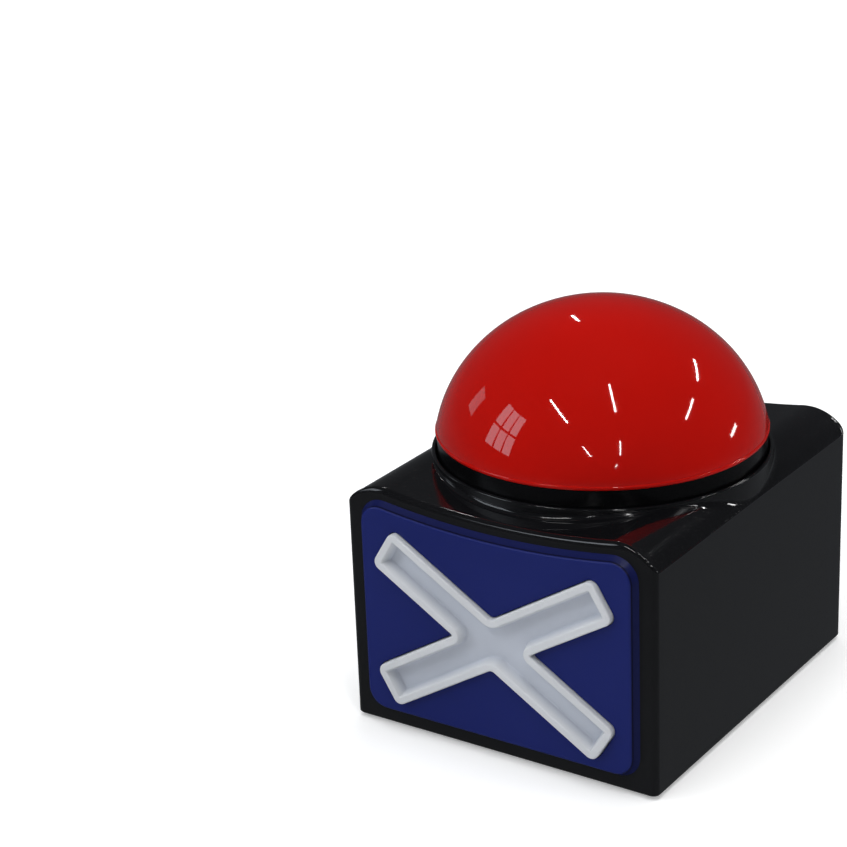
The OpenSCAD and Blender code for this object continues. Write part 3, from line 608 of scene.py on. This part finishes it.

# %% [markdown]
# Two finishes have shade painted into their colour. The cross is a thin white moulding, and the
# floor of its tray is painted a little cooler and greyer than the rim, as painted shade down in
# the recess; the mask is the depth below the rim, read from the object's own coordinates. The
# panel's raised sides sit in the gap of the frame and are painted almost black, as painted shade
# on the sides that turn away from the front; there the mask is how far the surface has turned
# away from the front. Both go through the same small tint group.

# %% Paint shade into a finish where a mask says so
TRAY_DEPTH = 3.4 * MM
# Painted shade colours: the tray floor's cooler grey and the panel sides' near black.
TRAY_FLOOR_SHADE = (0.80, 0.83, 0.90, 1)
PANEL_SIDE_SHADE = (0.30, 0.16, 0.14, 1)
FACES_FRONT, FACES_AWAY = -0.80, -0.45


def paint_shade_where(material, mask, colour):
    """Multiplies the material's base colour by another one where the mask is 1, as painted shade."""
    tree = material.node_tree
    paint_in = tree.nodes["Principled BSDF"].inputs["Base Color"]
    node = place_group(tree, tint, Tint=colour)
    tree.links.new(paint_in.links[0].from_socket, node.inputs["Colour in"])
    tree.links.new(mask, node.inputs["Amount"])
    tree.links.new(node.outputs["Colour"], paint_in)


# Painted shade: the tray's floor is darkened and cooled the deeper it lies below the rim.
lens_tree = finishes["white_lens"].node_tree
lens_depth = axis_of(lens_tree, lens_tree.nodes.new("ShaderNodeTexCoord").outputs["Object"], "Y")
down = remap(lens_tree, lens_depth, LENS_LOW.y + 0.2 * TRAY_DEPTH, LENS_LOW.y + TRAY_DEPTH,
             0.0, 1.0)
paint_shade_where(finishes["white_lens"], down, TRAY_FLOOR_SHADE)

# Painted shade: the panel's sides are darkened to near black where they turn away from the front.
panel_tree = finishes["blue_panel"].node_tree
panel_side_shade_mask = remap(panel_tree, normal_axis(panel_tree, "Y"), FACES_FRONT, FACES_AWAY, 0.0, 1.0)
paint_shade_where(finishes["blue_panel"], panel_side_shade_mask, PANEL_SIDE_SHADE)

# %% [markdown]
# ## Dress the engineering pieces
# Every engineering piece names the finish that it was designed with, so a loop can dress them
# all. Only its material changes: its mesh and its place belong to the engineering model.

# %% Give every frame piece its finish
slot_of = {row["node"]: row["material_slot"] for row in frame["record"]["subparts"]}
for node_name, node in frame["nodes"].items():
    finish = finishes[slot_of[node_name]]
    node.data.materials.clear()
    node.data.materials.append(finish)
print("dressed", len(frame["nodes"]), "pieces")

# %% [markdown]
# ## Modelling helpers
# Two old workshop moves make most of this buzzer. The first is to draw a line: start from a
# plane merged to a single corner, then extrude that corner along a list of points. The second
# is to finish: merge doubles, point every face outwards, smooth what is shallow and keep what
# is sharp. Every piece then gets its finish, its body to ride on and the pieces it stands for.

# %% Draw a line of corners
CLOSE = 0.0008 * MM


def draw_line(name, points, closed=False):
    """A new object in edit mode: a line through the points, one extruded corner at a time."""
    if bpy.context.object and bpy.context.object.mode == "EDIT":
        bpy.ops.object.mode_set(mode="OBJECT")
    bpy.ops.object.select_all(action="DESELECT")
    bpy.ops.mesh.primitive_plane_add(size=MM, location=(0, 0, 0))
    line = bpy.context.object
    line.name = name
    bpy.ops.object.mode_set(mode="EDIT")
    bpy.ops.mesh.select_all(action="SELECT")
    bpy.ops.mesh.merge(type="CENTER")
    bpy.ops.transform.translate(value=points[0])
    add_corners(points, closed)
    return line


def add_corners(points, closed):
    """Extrude the selected corner through the rest of the points, and back if closed."""
    path = list(points) + ([points[0]] if closed else [])
    for here, there in zip(path, path[1:]):
        step = Vector(there) - Vector(here)
        bpy.ops.mesh.extrude_vertices_move(TRANSFORM_OT_translate={"value": step})
    bpy.ops.mesh.select_all(action="SELECT")
    bpy.ops.mesh.remove_doubles(threshold=CLOSE)


# %% Finish a piece
def apply_modifier(piece, kind, **settings):
    """Add a modifier with its settings and apply it at once."""
    modifier = piece.modifiers.new(kind.lower(), kind)
    for setting, value in settings.items():
        setattr(modifier, setting, value)
    bpy.context.view_layer.objects.active = piece
    bpy.ops.object.modifier_apply(modifier=modifier.name)


def tidy_mesh(piece):
    """Merge doubles and point every face outwards."""
    bpy.ops.object.mode_set(mode="OBJECT")
    bpy.ops.object.select_all(action="DESELECT")
    piece.select_set(True)
    bpy.context.view_layer.objects.active = piece
    bpy.ops.object.mode_set(mode="EDIT")
    bpy.ops.mesh.select_all(action="SELECT")
    bpy.ops.mesh.remove_doubles(threshold=CLOSE)
    bpy.ops.mesh.normals_make_consistent(inside=False)
    bpy.ops.object.mode_set(mode="OBJECT")


def finish_piece(piece, body, slot_name, stands_for=(), sharp=35.0):
    """Tidy, smooth, dress and hang a piece on its body."""
    tidy_mesh(piece)
    bpy.ops.object.shade_smooth_by_angle(angle=math.radians(sharp))
    apply_modifier(piece, "WEIGHTED_NORMAL", keep_sharp=True, weight=60)
    piece.data.materials.clear()
    piece.data.materials.append(finishes[slot_name])
    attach(piece, body)
    if stands_for:
        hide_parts(*stands_for)
    print(piece.name, "has", len(piece.data.polygons), "faces")
    return piece


def copy_to(piece, name, shift):
    """A copy with its own mesh, moved by shifting the mesh itself."""
    twin = piece.copy()
    twin.data = piece.data.copy()
    twin.name = name
    twin.data.transform(Matrix.Translation(shift))
    bpy.context.scene.collection.objects.link(twin)
    return twin


# %% Turn a profile on the lathe
def arc(centre, radius, start, end, steps):
    """Points (across, up) on an arc, with angles in degrees from the across axis."""
    turns = [math.radians(start + (end - start) * k / steps) for k in range(steps + 1)]
    return [(centre[0] + radius * math.cos(t), centre[1] + radius * math.sin(t)) for t in turns]


def lathe(name, profile, steps):
    """Spin a profile of (radius, height) points right round the dome's upright axis."""
    points = [Vector((AXIS_X + radius, AXIS_Y, height)) for radius, height in profile]
    piece = draw_line(name, points)
    bpy.ops.mesh.spin(steps=steps, angle=2 * math.pi, center=(AXIS_X, AXIS_Y, 0), axis=(0, 0, 1))
    return piece


# %% [markdown]
# ## The dome
# The dome is blown up from a red plastic: a little wider than it is high, thinner than a coin,
# and stepped at its foot so that it drops into the black skirt. On a real one the lower edge is
# a narrow lip that catches the light. It could be half a sphere scaled down, but a sphere has
# no wall and no lip. A profile on the lathe has both, and its rows follow the light's path.

# %% Turn the dome
DOME_WIDE = 48.8 * MM
DOME_TALL = 44.9 * MM
DOME_WALL = 2.2 * MM
DOME_EDGE_Z = 80.6 * MM
DOME_CENTRE_Z = DOME_HIGH.z - DOME_TALL
LIP = 0.55 * MM
SPIGOT_IN, SPIGOT_OUT = 2.0 * MM, 0.5 * MM
DOME_STEPS = 160


def dome_curve(shrink, low_angle, steps):
    """The dome's curve from near its foot to its top, as (radius, height) points."""
    wide, tall = DOME_WIDE - shrink, DOME_TALL - shrink
    angles = [low_angle + (90 - low_angle) * k / steps for k in range(steps + 1)]
    return [
        (wide * math.cos(math.radians(a)), DOME_CENTRE_Z + tall * math.sin(math.radians(a)))
        for a in angles
    ]


edge_reach = DOME_HIGH.x - AXIS_X
outer = dome_curve(0, 11.6, 44)
inner = dome_curve(DOME_WALL, 11.2, 30)
lip = [
    (edge_reach - LIP, DOME_EDGE_Z),
    (edge_reach - 0.35 * LIP, DOME_EDGE_Z + 0.10 * LIP),
    (edge_reach, DOME_EDGE_Z + 0.55 * LIP),
    (edge_reach, DOME_EDGE_Z + 1.5 * LIP),
    (edge_reach - 0.2 * LIP, DOME_EDGE_Z + 1.9 * LIP),
    (edge_reach - 0.62 * LIP, DOME_EDGE_Z + 2.1 * LIP),
]
spigot = [
    (edge_reach - DOME_WALL - SPIGOT_IN, DOME_EDGE_Z),
    (edge_reach - DOME_WALL - SPIGOT_IN, DOME_LOW.z),
    (edge_reach - DOME_WALL - SPIGOT_OUT, DOME_LOW.z),
    (edge_reach - DOME_WALL - SPIGOT_OUT, DOME_EDGE_Z),
]
dome = lathe("red_dome", list(reversed(inner)) + spigot + lip + outer, steps=DOME_STEPS)
finish_piece(dome, "button", "red_dome", ["dome"], sharp=40)

# %% [markdown]
# ## The housing
# The housing is a box with a dished top: a broad hollow runs from front to back, a rounded
# shoulder falls away at each side, and a round collar stands up in the middle for the button.
# Where the collar meets the dish there is a hollow fillet that a fingertip could follow. A box
# with a cylinder joined to it would leave a hard seam there. Here one section is carried round
# the axis instead: a ring starts as the box's outline, is extruded up the walls, in over the
# dish, up the collar and down the bore, and closes on itself. Every ring keeps its rays, so the
# box turns round without a seam.

# %% The shape of the dished top
DISH_RADIUS = 248.04 * MM
DISH_CENTRE_Z = UNDERSIDE_Z + 318.74 * MM
SHOULDER_RADIUS = 13.5 * MM
SHOULDER_X = 38.168 * MM
SHOULDER_Z = UNDERSIDE_Z + 60.0 * MM
DISH_EDGE_X = SHOULDER_X * DISH_RADIUS / (DISH_RADIUS + SHOULDER_RADIUS)
CORNER = 2.0 * MM


def crown_height(x):
    """Height of the dished top at a distance x from the middle."""
    x = min(abs(x), HALF_WIDTH)
    if x < DISH_EDGE_X:
        return DISH_CENTRE_Z - math.sqrt(DISH_RADIUS ** 2 - x ** 2)
    return SHOULDER_Z + math.sqrt(SHOULDER_RADIUS ** 2 - (x - SHOULDER_X) ** 2)


def outline_reach(angle, half_width, half_depth, corner):
    """How far a ray from the axis goes before it leaves a rectangle with round corners."""
    c, s = max(abs(math.cos(angle)), 1e-9), max(abs(math.sin(angle)), 1e-9)
    to_side, to_front = half_width / c, half_depth / s
    if to_side * s <= half_depth - corner:
        return to_side
    if to_front * c <= half_width - corner:
        return to_front
    corner_x, corner_y = half_width - corner, half_depth - corner
    along = c * corner_x + s * corner_y
    return along + math.sqrt(along ** 2 - corner_x ** 2 - corner_y ** 2 + corner ** 2)


# %% [markdown]
# Rays are close together where the top curves fast, at the corners and over the shoulders.

# %% The rays that every ring follows
def quarter_rays():
    """Angles of the rays from the right-hand side to the back."""
    side = [(HALF_WIDTH, (HALF_DEPTH - CORNER) * k / 18) for k in range(19)]
    corner = [
        (HALF_WIDTH - CORNER + CORNER * math.cos(t), HALF_DEPTH - CORNER + CORNER * math.sin(t))
        for t in [math.radians(90 * k / 7) for k in range(1, 8)]
    ]
    shoulder_turn = math.asin((HALF_WIDTH - CORNER - SHOULDER_X) / SHOULDER_RADIUS)
    shoulder = [
        (SHOULDER_X + SHOULDER_RADIUS * math.sin(shoulder_turn * k / 12), HALF_DEPTH)
        for k in range(11, -3, -1)
    ]
    last_x = shoulder[-1][0]
    dish = [(last_x * k / 14, HALF_DEPTH) for k in range(13, -1, -1)]
    return [math.atan2(y, x) for x, y in side + corner + shoulder + dish]


quarter = quarter_rays()
half = quarter + [math.pi - a for a in reversed(quarter[:-1])]
rays = half + [a + math.pi for a in half[1:-1]]
print("rays round the housing:", len(rays))

# %% The section, ring by ring
COLLAR_REACH = 49.4 * MM
BORE_REACH = 48.2 * MM
WELL_FOOT_Z = UNDERSIDE_Z + 62.6 * MM
RIM_ROUND = 0.5 * MM
FOOT_ROUND = 0.4 * MM
BORE_ROUND = 0.4 * MM
INNER_CORNER = 0.5 * MM
SIDE_ROUND, FRONT_EXTRA_ROUND = 0.3 * MM, 1.5 * MM
FILLET = 1.4 * MM
FILLET_LEAST = 0.02 * MM


def outer_reach(angle):
    return outline_reach(angle, HALF_WIDTH, HALF_DEPTH, CORNER)


def inner_reach(angle):
    return outline_reach(angle, HALF_WIDTH - WALL, HALF_DEPTH - WALL, INNER_CORNER)


def edge_round(angle):
    """The rounding along the top edge: crisp at the sides and softer at front and back."""
    depth_there = abs(outer_reach(angle) * math.sin(angle))
    share = max(0.0, (depth_there - (HALF_DEPTH - CORNER)) / CORNER)
    return SIDE_ROUND + FRONT_EXTRA_ROUND * share


def top_z(angle, reach):
    return crown_height(reach * math.cos(angle))


def fillet_round(angle):
    """The fillet's radius, smaller where the collar runs close to an edge or a crest."""
    margin = outer_reach(angle) - edge_round(angle) - COLLAR_REACH
    headroom = RIM_Z - RIM_ROUND - top_z(angle, COLLAR_REACH)
    return max(FILLET_LEAST, min(FILLET, 0.85 * margin, 0.62 * headroom))


def wall_foot_ring(angle):
    return outer_reach(angle) - FOOT_ROUND, UNDERSIDE_Z


def top_edge_ring(angle, turn):
    """Ring on the rounding between wall and top; turn goes from 0 to 1."""
    radius = edge_round(angle)
    t = math.radians(90 * turn)
    start = outer_reach(angle) - radius
    return start + radius * math.cos(t), top_z(angle, start) - radius * (1 - math.sin(t))


def dish_ring(angle, share):
    """Ring on the dished top; share goes from 0 at the edge to 1 at the fillet."""
    start = outer_reach(angle) - edge_round(angle)
    end = COLLAR_REACH + fillet_round(angle)
    reach = start + (end - start) * share
    return reach, top_z(angle, reach)


def fillet_ring(angle, turn):
    """Ring on the hollow fillet; turn goes from 0 at the dish to 1 at the collar."""
    radius = fillet_round(angle)
    t = math.radians(90 * turn)
    reach = COLLAR_REACH + radius * (1 - math.sin(t))
    return reach, top_z(angle, reach) + radius * (1 - math.cos(t))


def ceiling_ring(angle, share):
    """Ring under the dished top, from the well out to the wall."""
    wall_reach = inner_reach(angle)
    start = min(COLLAR_REACH, wall_reach)
    reach = start + (wall_reach - start) * share
    if start == wall_reach:
        return reach, WELL_FOOT_Z
    return reach, top_z(angle, reach) - WALL


def fixed_ring(reach, height):
    return lambda angle: (reach, height)


collar_rim = [(COLLAR_REACH, RIM_Z - RIM_ROUND)]
collar_rim += arc((COLLAR_REACH - RIM_ROUND, RIM_Z - RIM_ROUND), RIM_ROUND, 22, 90, 4)
collar_rim += arc((BORE_REACH + BORE_ROUND, RIM_Z - BORE_ROUND), BORE_ROUND, 90, 180, 4)
collar_rim += [(BORE_REACH, WELL_FOOT_Z)]

section = [lambda a: (outer_reach(a), UNDERSIDE_Z + FOOT_ROUND)]
section += [lambda a, k=k: top_edge_ring(a, k / 7) for k in range(8)]
section += [lambda a, k=k: dish_ring(a, k / 20) for k in range(1, 21)]
section += [lambda a, k=k: fillet_ring(a, k / 8) for k in range(1, 9)]
section += [fixed_ring(*point) for point in collar_rim]
section += [lambda a: (min(COLLAR_REACH, inner_reach(a)), WELL_FOOT_Z)]
section += [lambda a, k=k: ceiling_ring(a, k / 5) for k in range(6)]
section += [lambda a: (inner_reach(a), UNDERSIDE_Z)]
section += [wall_foot_ring]
print("rings in the section:", len(section) + 1)


# %% Carry the section round
def next_ring(shell, ring):
    """Extrude the selected ring of edges and put each new corner at its own place."""
    bpy.ops.mesh.extrude_edges_move()
    mesh = bmesh.from_edit_mesh(shell.data)
    for corner in mesh.verts:
        if corner.select:
            angle = math.atan2(corner.co.y - AXIS_Y, corner.co.x - AXIS_X)
            reach, height = ring(angle)
            corner.co = (AXIS_X + reach * math.cos(angle),
                         AXIS_Y + reach * math.sin(angle), height)
    bmesh.update_edit_mesh(shell.data)


def ring_points(ring):
    """The points of a ring, one on every ray."""
    places = []
    for angle in rays:
        reach, height = ring(angle)
        places.append(Vector((AXIS_X + reach * math.cos(angle),
                              AXIS_Y + reach * math.sin(angle), height)))
    return places


housing = draw_line("housing_shell", ring_points(wall_foot_ring), closed=True)
for ring in section:
    next_ring(housing, ring)
finish_piece(housing, "body", "black_gloss", ["housing"])

# %% [markdown]
# ## The blue front
# The panel is a plate with soft edges whose sides spread a little towards the housing, so that
# it leaves its mould easily. Its top edge runs parallel to the dish. We draw its outline once
# for each level, back to front, and extrude from level to level: that gives the rounded edge and the
# spread sides in one go. The cross is then cut through it with a boolean, a hair larger than
# the white piece, and that hair is the dark seam on the finished buzzer.

# %% A body stacked from levels
def stack(name, levels):
    """A closed body through levels, each a list of the same number of points.

    The first level is drawn, and each of the others is extruded from the one before and
    then put in its own place. The two ends are closed with one face each.
    """
    body = draw_line(name, levels[0], closed=True)
    mesh = bmesh.from_edit_mesh(body.data)
    mesh.verts.ensure_lookup_table()
    places = [v.co.copy() for v in mesh.verts]
    order = [min(range(len(places)), key=lambda i: (places[i] - Vector(p)).length)
             for p in levels[0]]
    place_of = {index: number for number, index in enumerate(order)}
    bpy.ops.mesh.edge_face_add()
    for level in levels[1:]:
        mesh = bmesh.from_edit_mesh(body.data)
        before = [v for v in mesh.verts if v.select]
        numbers = {tuple(round(c, 9) for c in v.co): place_of[v.index] for v in before}
        bpy.ops.mesh.extrude_region_move()
        mesh = bmesh.from_edit_mesh(body.data)
        mesh.verts.index_update()
        place_of = {}
        for corner in mesh.verts:
            if corner.select:
                number = numbers[tuple(round(c, 9) for c in corner.co)]
                corner.co = level[number]
                place_of[corner.index] = number
        bmesh.update_edit_mesh(body.data)
    return body


# %% The panel's outline
FRONT_Y = HOUSING_LOW.y
PANEL_SUNK = 0.4 * MM
PANEL_HALF = 43.8 * MM
PANEL_FOOT_Z = UNDERSIDE_Z + 5.2 * MM
PANEL_CORNER = 6.0 * MM
PANEL_TOP_RADIUS = DISH_RADIUS + 4.7 * MM
PANEL_SPREAD = PANEL_HIGH.x - PANEL_HALF
PANEL_Y = PANEL_LOW.y
PANEL_EDGE = 0.9 * MM


def panel_outline(grow, y):
    """The panel's outline at depth y, grown outwards on every side."""
    centre_x = PANEL_HALF - PANEL_CORNER
    low_z = PANEL_FOOT_Z + PANEL_CORNER
    far = PANEL_TOP_RADIUS + PANEL_CORNER
    high_z = DISH_CENTRE_Z - math.sqrt(far ** 2 - centre_x ** 2)
    lean = math.degrees(math.asin(centre_x / far))
    radius = PANEL_CORNER + grow
    top = PANEL_TOP_RADIUS - grow
    right = arc((centre_x, low_z), radius, -90, 0, 9)
    right += arc((centre_x, high_z), radius, 0, 90 + lean, 10)
    edge = arc((0, DISH_CENTRE_Z), top, -90 + lean, -90 - lean, 24)[1:-1]
    left = [(-x, z) for x, z in reversed(right)]
    return [Vector((AXIS_X + x, y, z)) for x, z in right + edge + left]


panel_levels = [panel_outline(0.0, FRONT_Y + PANEL_SUNK),
                panel_outline(PANEL_SPREAD, FRONT_Y + PANEL_SUNK),
                panel_outline(PANEL_SPREAD, FRONT_Y)]
for k in range(7):
    t = math.radians(90 * k / 6)
    panel_levels.append(panel_outline(-PANEL_EDGE * (1 - math.cos(t)),
                                      PANEL_Y + PANEL_EDGE * (1 - math.sin(t))))
panel = stack("blue_front", panel_levels)
tidy_mesh(panel)

# %% [markdown]
# ## The white cross
# The cross is a shallow tray: a flat rim, walls that lean in, and a floor set a few
# millimetres down, with a lamp board glowing behind it. Two crossed bars make its outline. At
# every level the bars are shorter and narrower by the same inset, so the rim keeps its width
# and the leaning walls keep their slope. Corners that stick out are round, and so are the two
# notches above and below the middle, while the notches at its sides are nearly sharp.

# %% The outline of two crossed bars
ARM_HALF_LENGTH = 42.0 * MM
ARM_HALF_WIDTH = 6.5 * MM
ARM_TILT = math.radians(31.4)
CROSS_X = (LENS_LOW.x + LENS_HIGH.x) / 2
CROSS_Z = (LENS_LOW.z + LENS_HIGH.z) / 2
CROSS_Y = LENS_LOW.y
CROSS_CORNER = 2.4 * MM
CORNER_LEAST = 0.35 * MM
CORNER_STEPS = 6
SIDE_NOTCH = 0.5 * MM
TOP_NOTCH = 2.0 * MM


def round_corners(corners, radii):
    """Replace each corner of a closed outline with an arc of its own radius."""
    points = []
    for k, corner in enumerate(corners):
        before = (corners[k - 1] - corner).normalized()
        after = (corners[(k + 1) % len(corners)] - corner).normalized()
        half_turn = math.acos(max(-1.0, min(1.0, before.dot(after)))) / 2
        back_off = radii[k] / math.tan(half_turn)
        centre = corner + (before + after).normalized() * (radii[k] / math.sin(half_turn))
        start, end = corner + before * back_off - centre, corner + after * back_off - centre
        sweep = math.atan2(start.cross(end), start.dot(end))
        for step in range(CORNER_STEPS + 1):
            t = sweep * step / CORNER_STEPS
            turned = Vector((start.x * math.cos(t) - start.y * math.sin(t),
                             start.x * math.sin(t) + start.y * math.cos(t)))
            points.append(centre + turned)
    return points


def cross_outline(inset, y):
    """The outline of the crossed bars, set in by a distance, at depth y."""
    length, width = ARM_HALF_LENGTH - inset, ARM_HALF_WIDTH - inset
    rise = Vector((math.cos(ARM_TILT), math.sin(ARM_TILT)))
    fall = Vector((math.cos(ARM_TILT), -math.sin(ARM_TILT)))
    over_rise = Vector((-math.sin(ARM_TILT), math.cos(ARM_TILT)))
    over_fall = Vector((math.sin(ARM_TILT), math.cos(ARM_TILT)))
    side = Vector((width / math.sin(ARM_TILT), 0))
    top = Vector((0, width / math.cos(ARM_TILT)))
    upper_half = [side, rise * length - over_rise * width, rise * length + over_rise * width,
                  top, over_fall * width - fall * length, -over_fall * width - fall * length]
    corners = upper_half + [-corner for corner in upper_half]
    outward = max(CROSS_CORNER - inset, CORNER_LEAST)
    inward = max(inset, 0.0)
    half_radii = [SIDE_NOTCH + inward, outward, outward, TOP_NOTCH + inward, outward, outward]
    return [Vector((CROSS_X + p.x, y, CROSS_Z + p.y))
            for p in round_corners(corners, half_radii * 2)]


# %% Cut the cross out of the panel
SEAM = 0.3 * MM
PAST = 2 * MM
cutter = stack("cutter", [cross_outline(-SEAM, PANEL_Y - PAST),
                          cross_outline(-SEAM, FRONT_Y + PAST)])
tidy_mesh(cutter)
apply_modifier(panel, "BOOLEAN", operation="DIFFERENCE", object=cutter, solver="EXACT")
bpy.data.objects.remove(cutter)
finish_piece(panel, "body", "blue_panel", ["front_panel"])

# %% [markdown]
# The tray is stacked from the back edge forward, round the soft rim, and down the leaning wall
# to the floor. Each of the three roundings is five levels on a quarter circle.

# %% Build the tray
RIM_WIDTH = 2.4 * MM
RIM_SOFT = 0.5 * MM
WALL_LEAN = 0.8 * MM
floor_y = CROSS_Y + TRAY_DEPTH
tray_levels = [cross_outline(0.0, LENS_HIGH.y)]
for k in range(5):
    t = math.radians(90 * k / 4)
    tray_levels.append(cross_outline(RIM_SOFT * (1 - math.cos(t)),
                                     CROSS_Y + RIM_SOFT * (1 - math.sin(t))))
for k in range(5):
    t = math.radians(90 * k / 4)
    tray_levels.append(cross_outline(RIM_WIDTH - RIM_SOFT * (1 - math.sin(t)),
                                     CROSS_Y + RIM_SOFT * (1 - math.cos(t))))
for k in range(5):
    t = math.radians(90 * k / 4)
    tray_levels.append(cross_outline(RIM_WIDTH + WALL_LEAN + RIM_SOFT * (1 - math.cos(t)),
                                     floor_y - RIM_SOFT * (1 - math.sin(t))))
tray = stack("white_cross", tray_levels)
finish_piece(tray, "body", "white_lens", ["cross_lens"], sharp=38)

# %% [markdown]
# ## The springs
# Four springs under the button push it back up. A spring is a round wire carried up a helix.
# It could be a curve with a bevel, but the Screw modifier says it more directly: one circle,
# a pitch and a number of turns. Springs shorten as the button goes down.

# %% Wind the springs
SPRINGS_LOW, SPRINGS_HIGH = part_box("return_springs")
WIRE = 0.45 * MM
COIL = 6.0 * MM
SPRING_TURNS = 6
DECK_TOP_Z = SPRINGS_LOW.z
spring_reach_x = (SPRINGS_HIGH.x - SPRINGS_LOW.x) / 2 - COIL - WIRE
spring_reach_y = (SPRINGS_HIGH.y - SPRINGS_LOW.y) / 2 - COIL - WIRE
pitch = (SPRINGS_HIGH.z - SPRINGS_LOW.z - 2 * WIRE) / SPRING_TURNS

bpy.ops.object.select_all(action="DESELECT")
bpy.ops.mesh.primitive_circle_add(vertices=10, radius=WIRE, location=(0, 0, 0),
                                  rotation=(math.pi / 2, 0, 0))
spring = bpy.context.object
spring.name = "spring_1"
bpy.ops.object.transform_apply(rotation=True)
bpy.ops.object.mode_set(mode="EDIT")
bpy.ops.mesh.select_all(action="SELECT")
bpy.ops.transform.translate(value=(COIL, 0, 0))
bpy.ops.object.mode_set(mode="OBJECT")
apply_modifier(spring, "SCREW", axis="Z", angle=2 * math.pi, screw_offset=pitch,
               iterations=SPRING_TURNS, steps=32, render_steps=32)
bpy.ops.object.mode_set(mode="EDIT")
bpy.ops.mesh.select_all(action="DESELECT")
bpy.ops.mesh.select_non_manifold()
bpy.ops.mesh.fill_holes(sides=0)
bpy.ops.object.mode_set(mode="OBJECT")
spring.data.transform(Matrix.Translation((
    AXIS_X + spring_reach_x, AXIS_Y + spring_reach_y, DECK_TOP_Z + WIRE)))
springs = [spring]
for number, (sign_x, sign_y) in enumerate(((-1, 1), (-1, -1), (1, -1)), start=2):
    springs.append(copy_to(spring, f"spring_{number}",
                           ((sign_x - 1) * spring_reach_x, (sign_y - 1) * spring_reach_y, 0)))
for spring in springs:
    finish_piece(spring, "body", "spring_wire", sharp=50)
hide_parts("return_springs")
for spring in springs:
    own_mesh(spring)
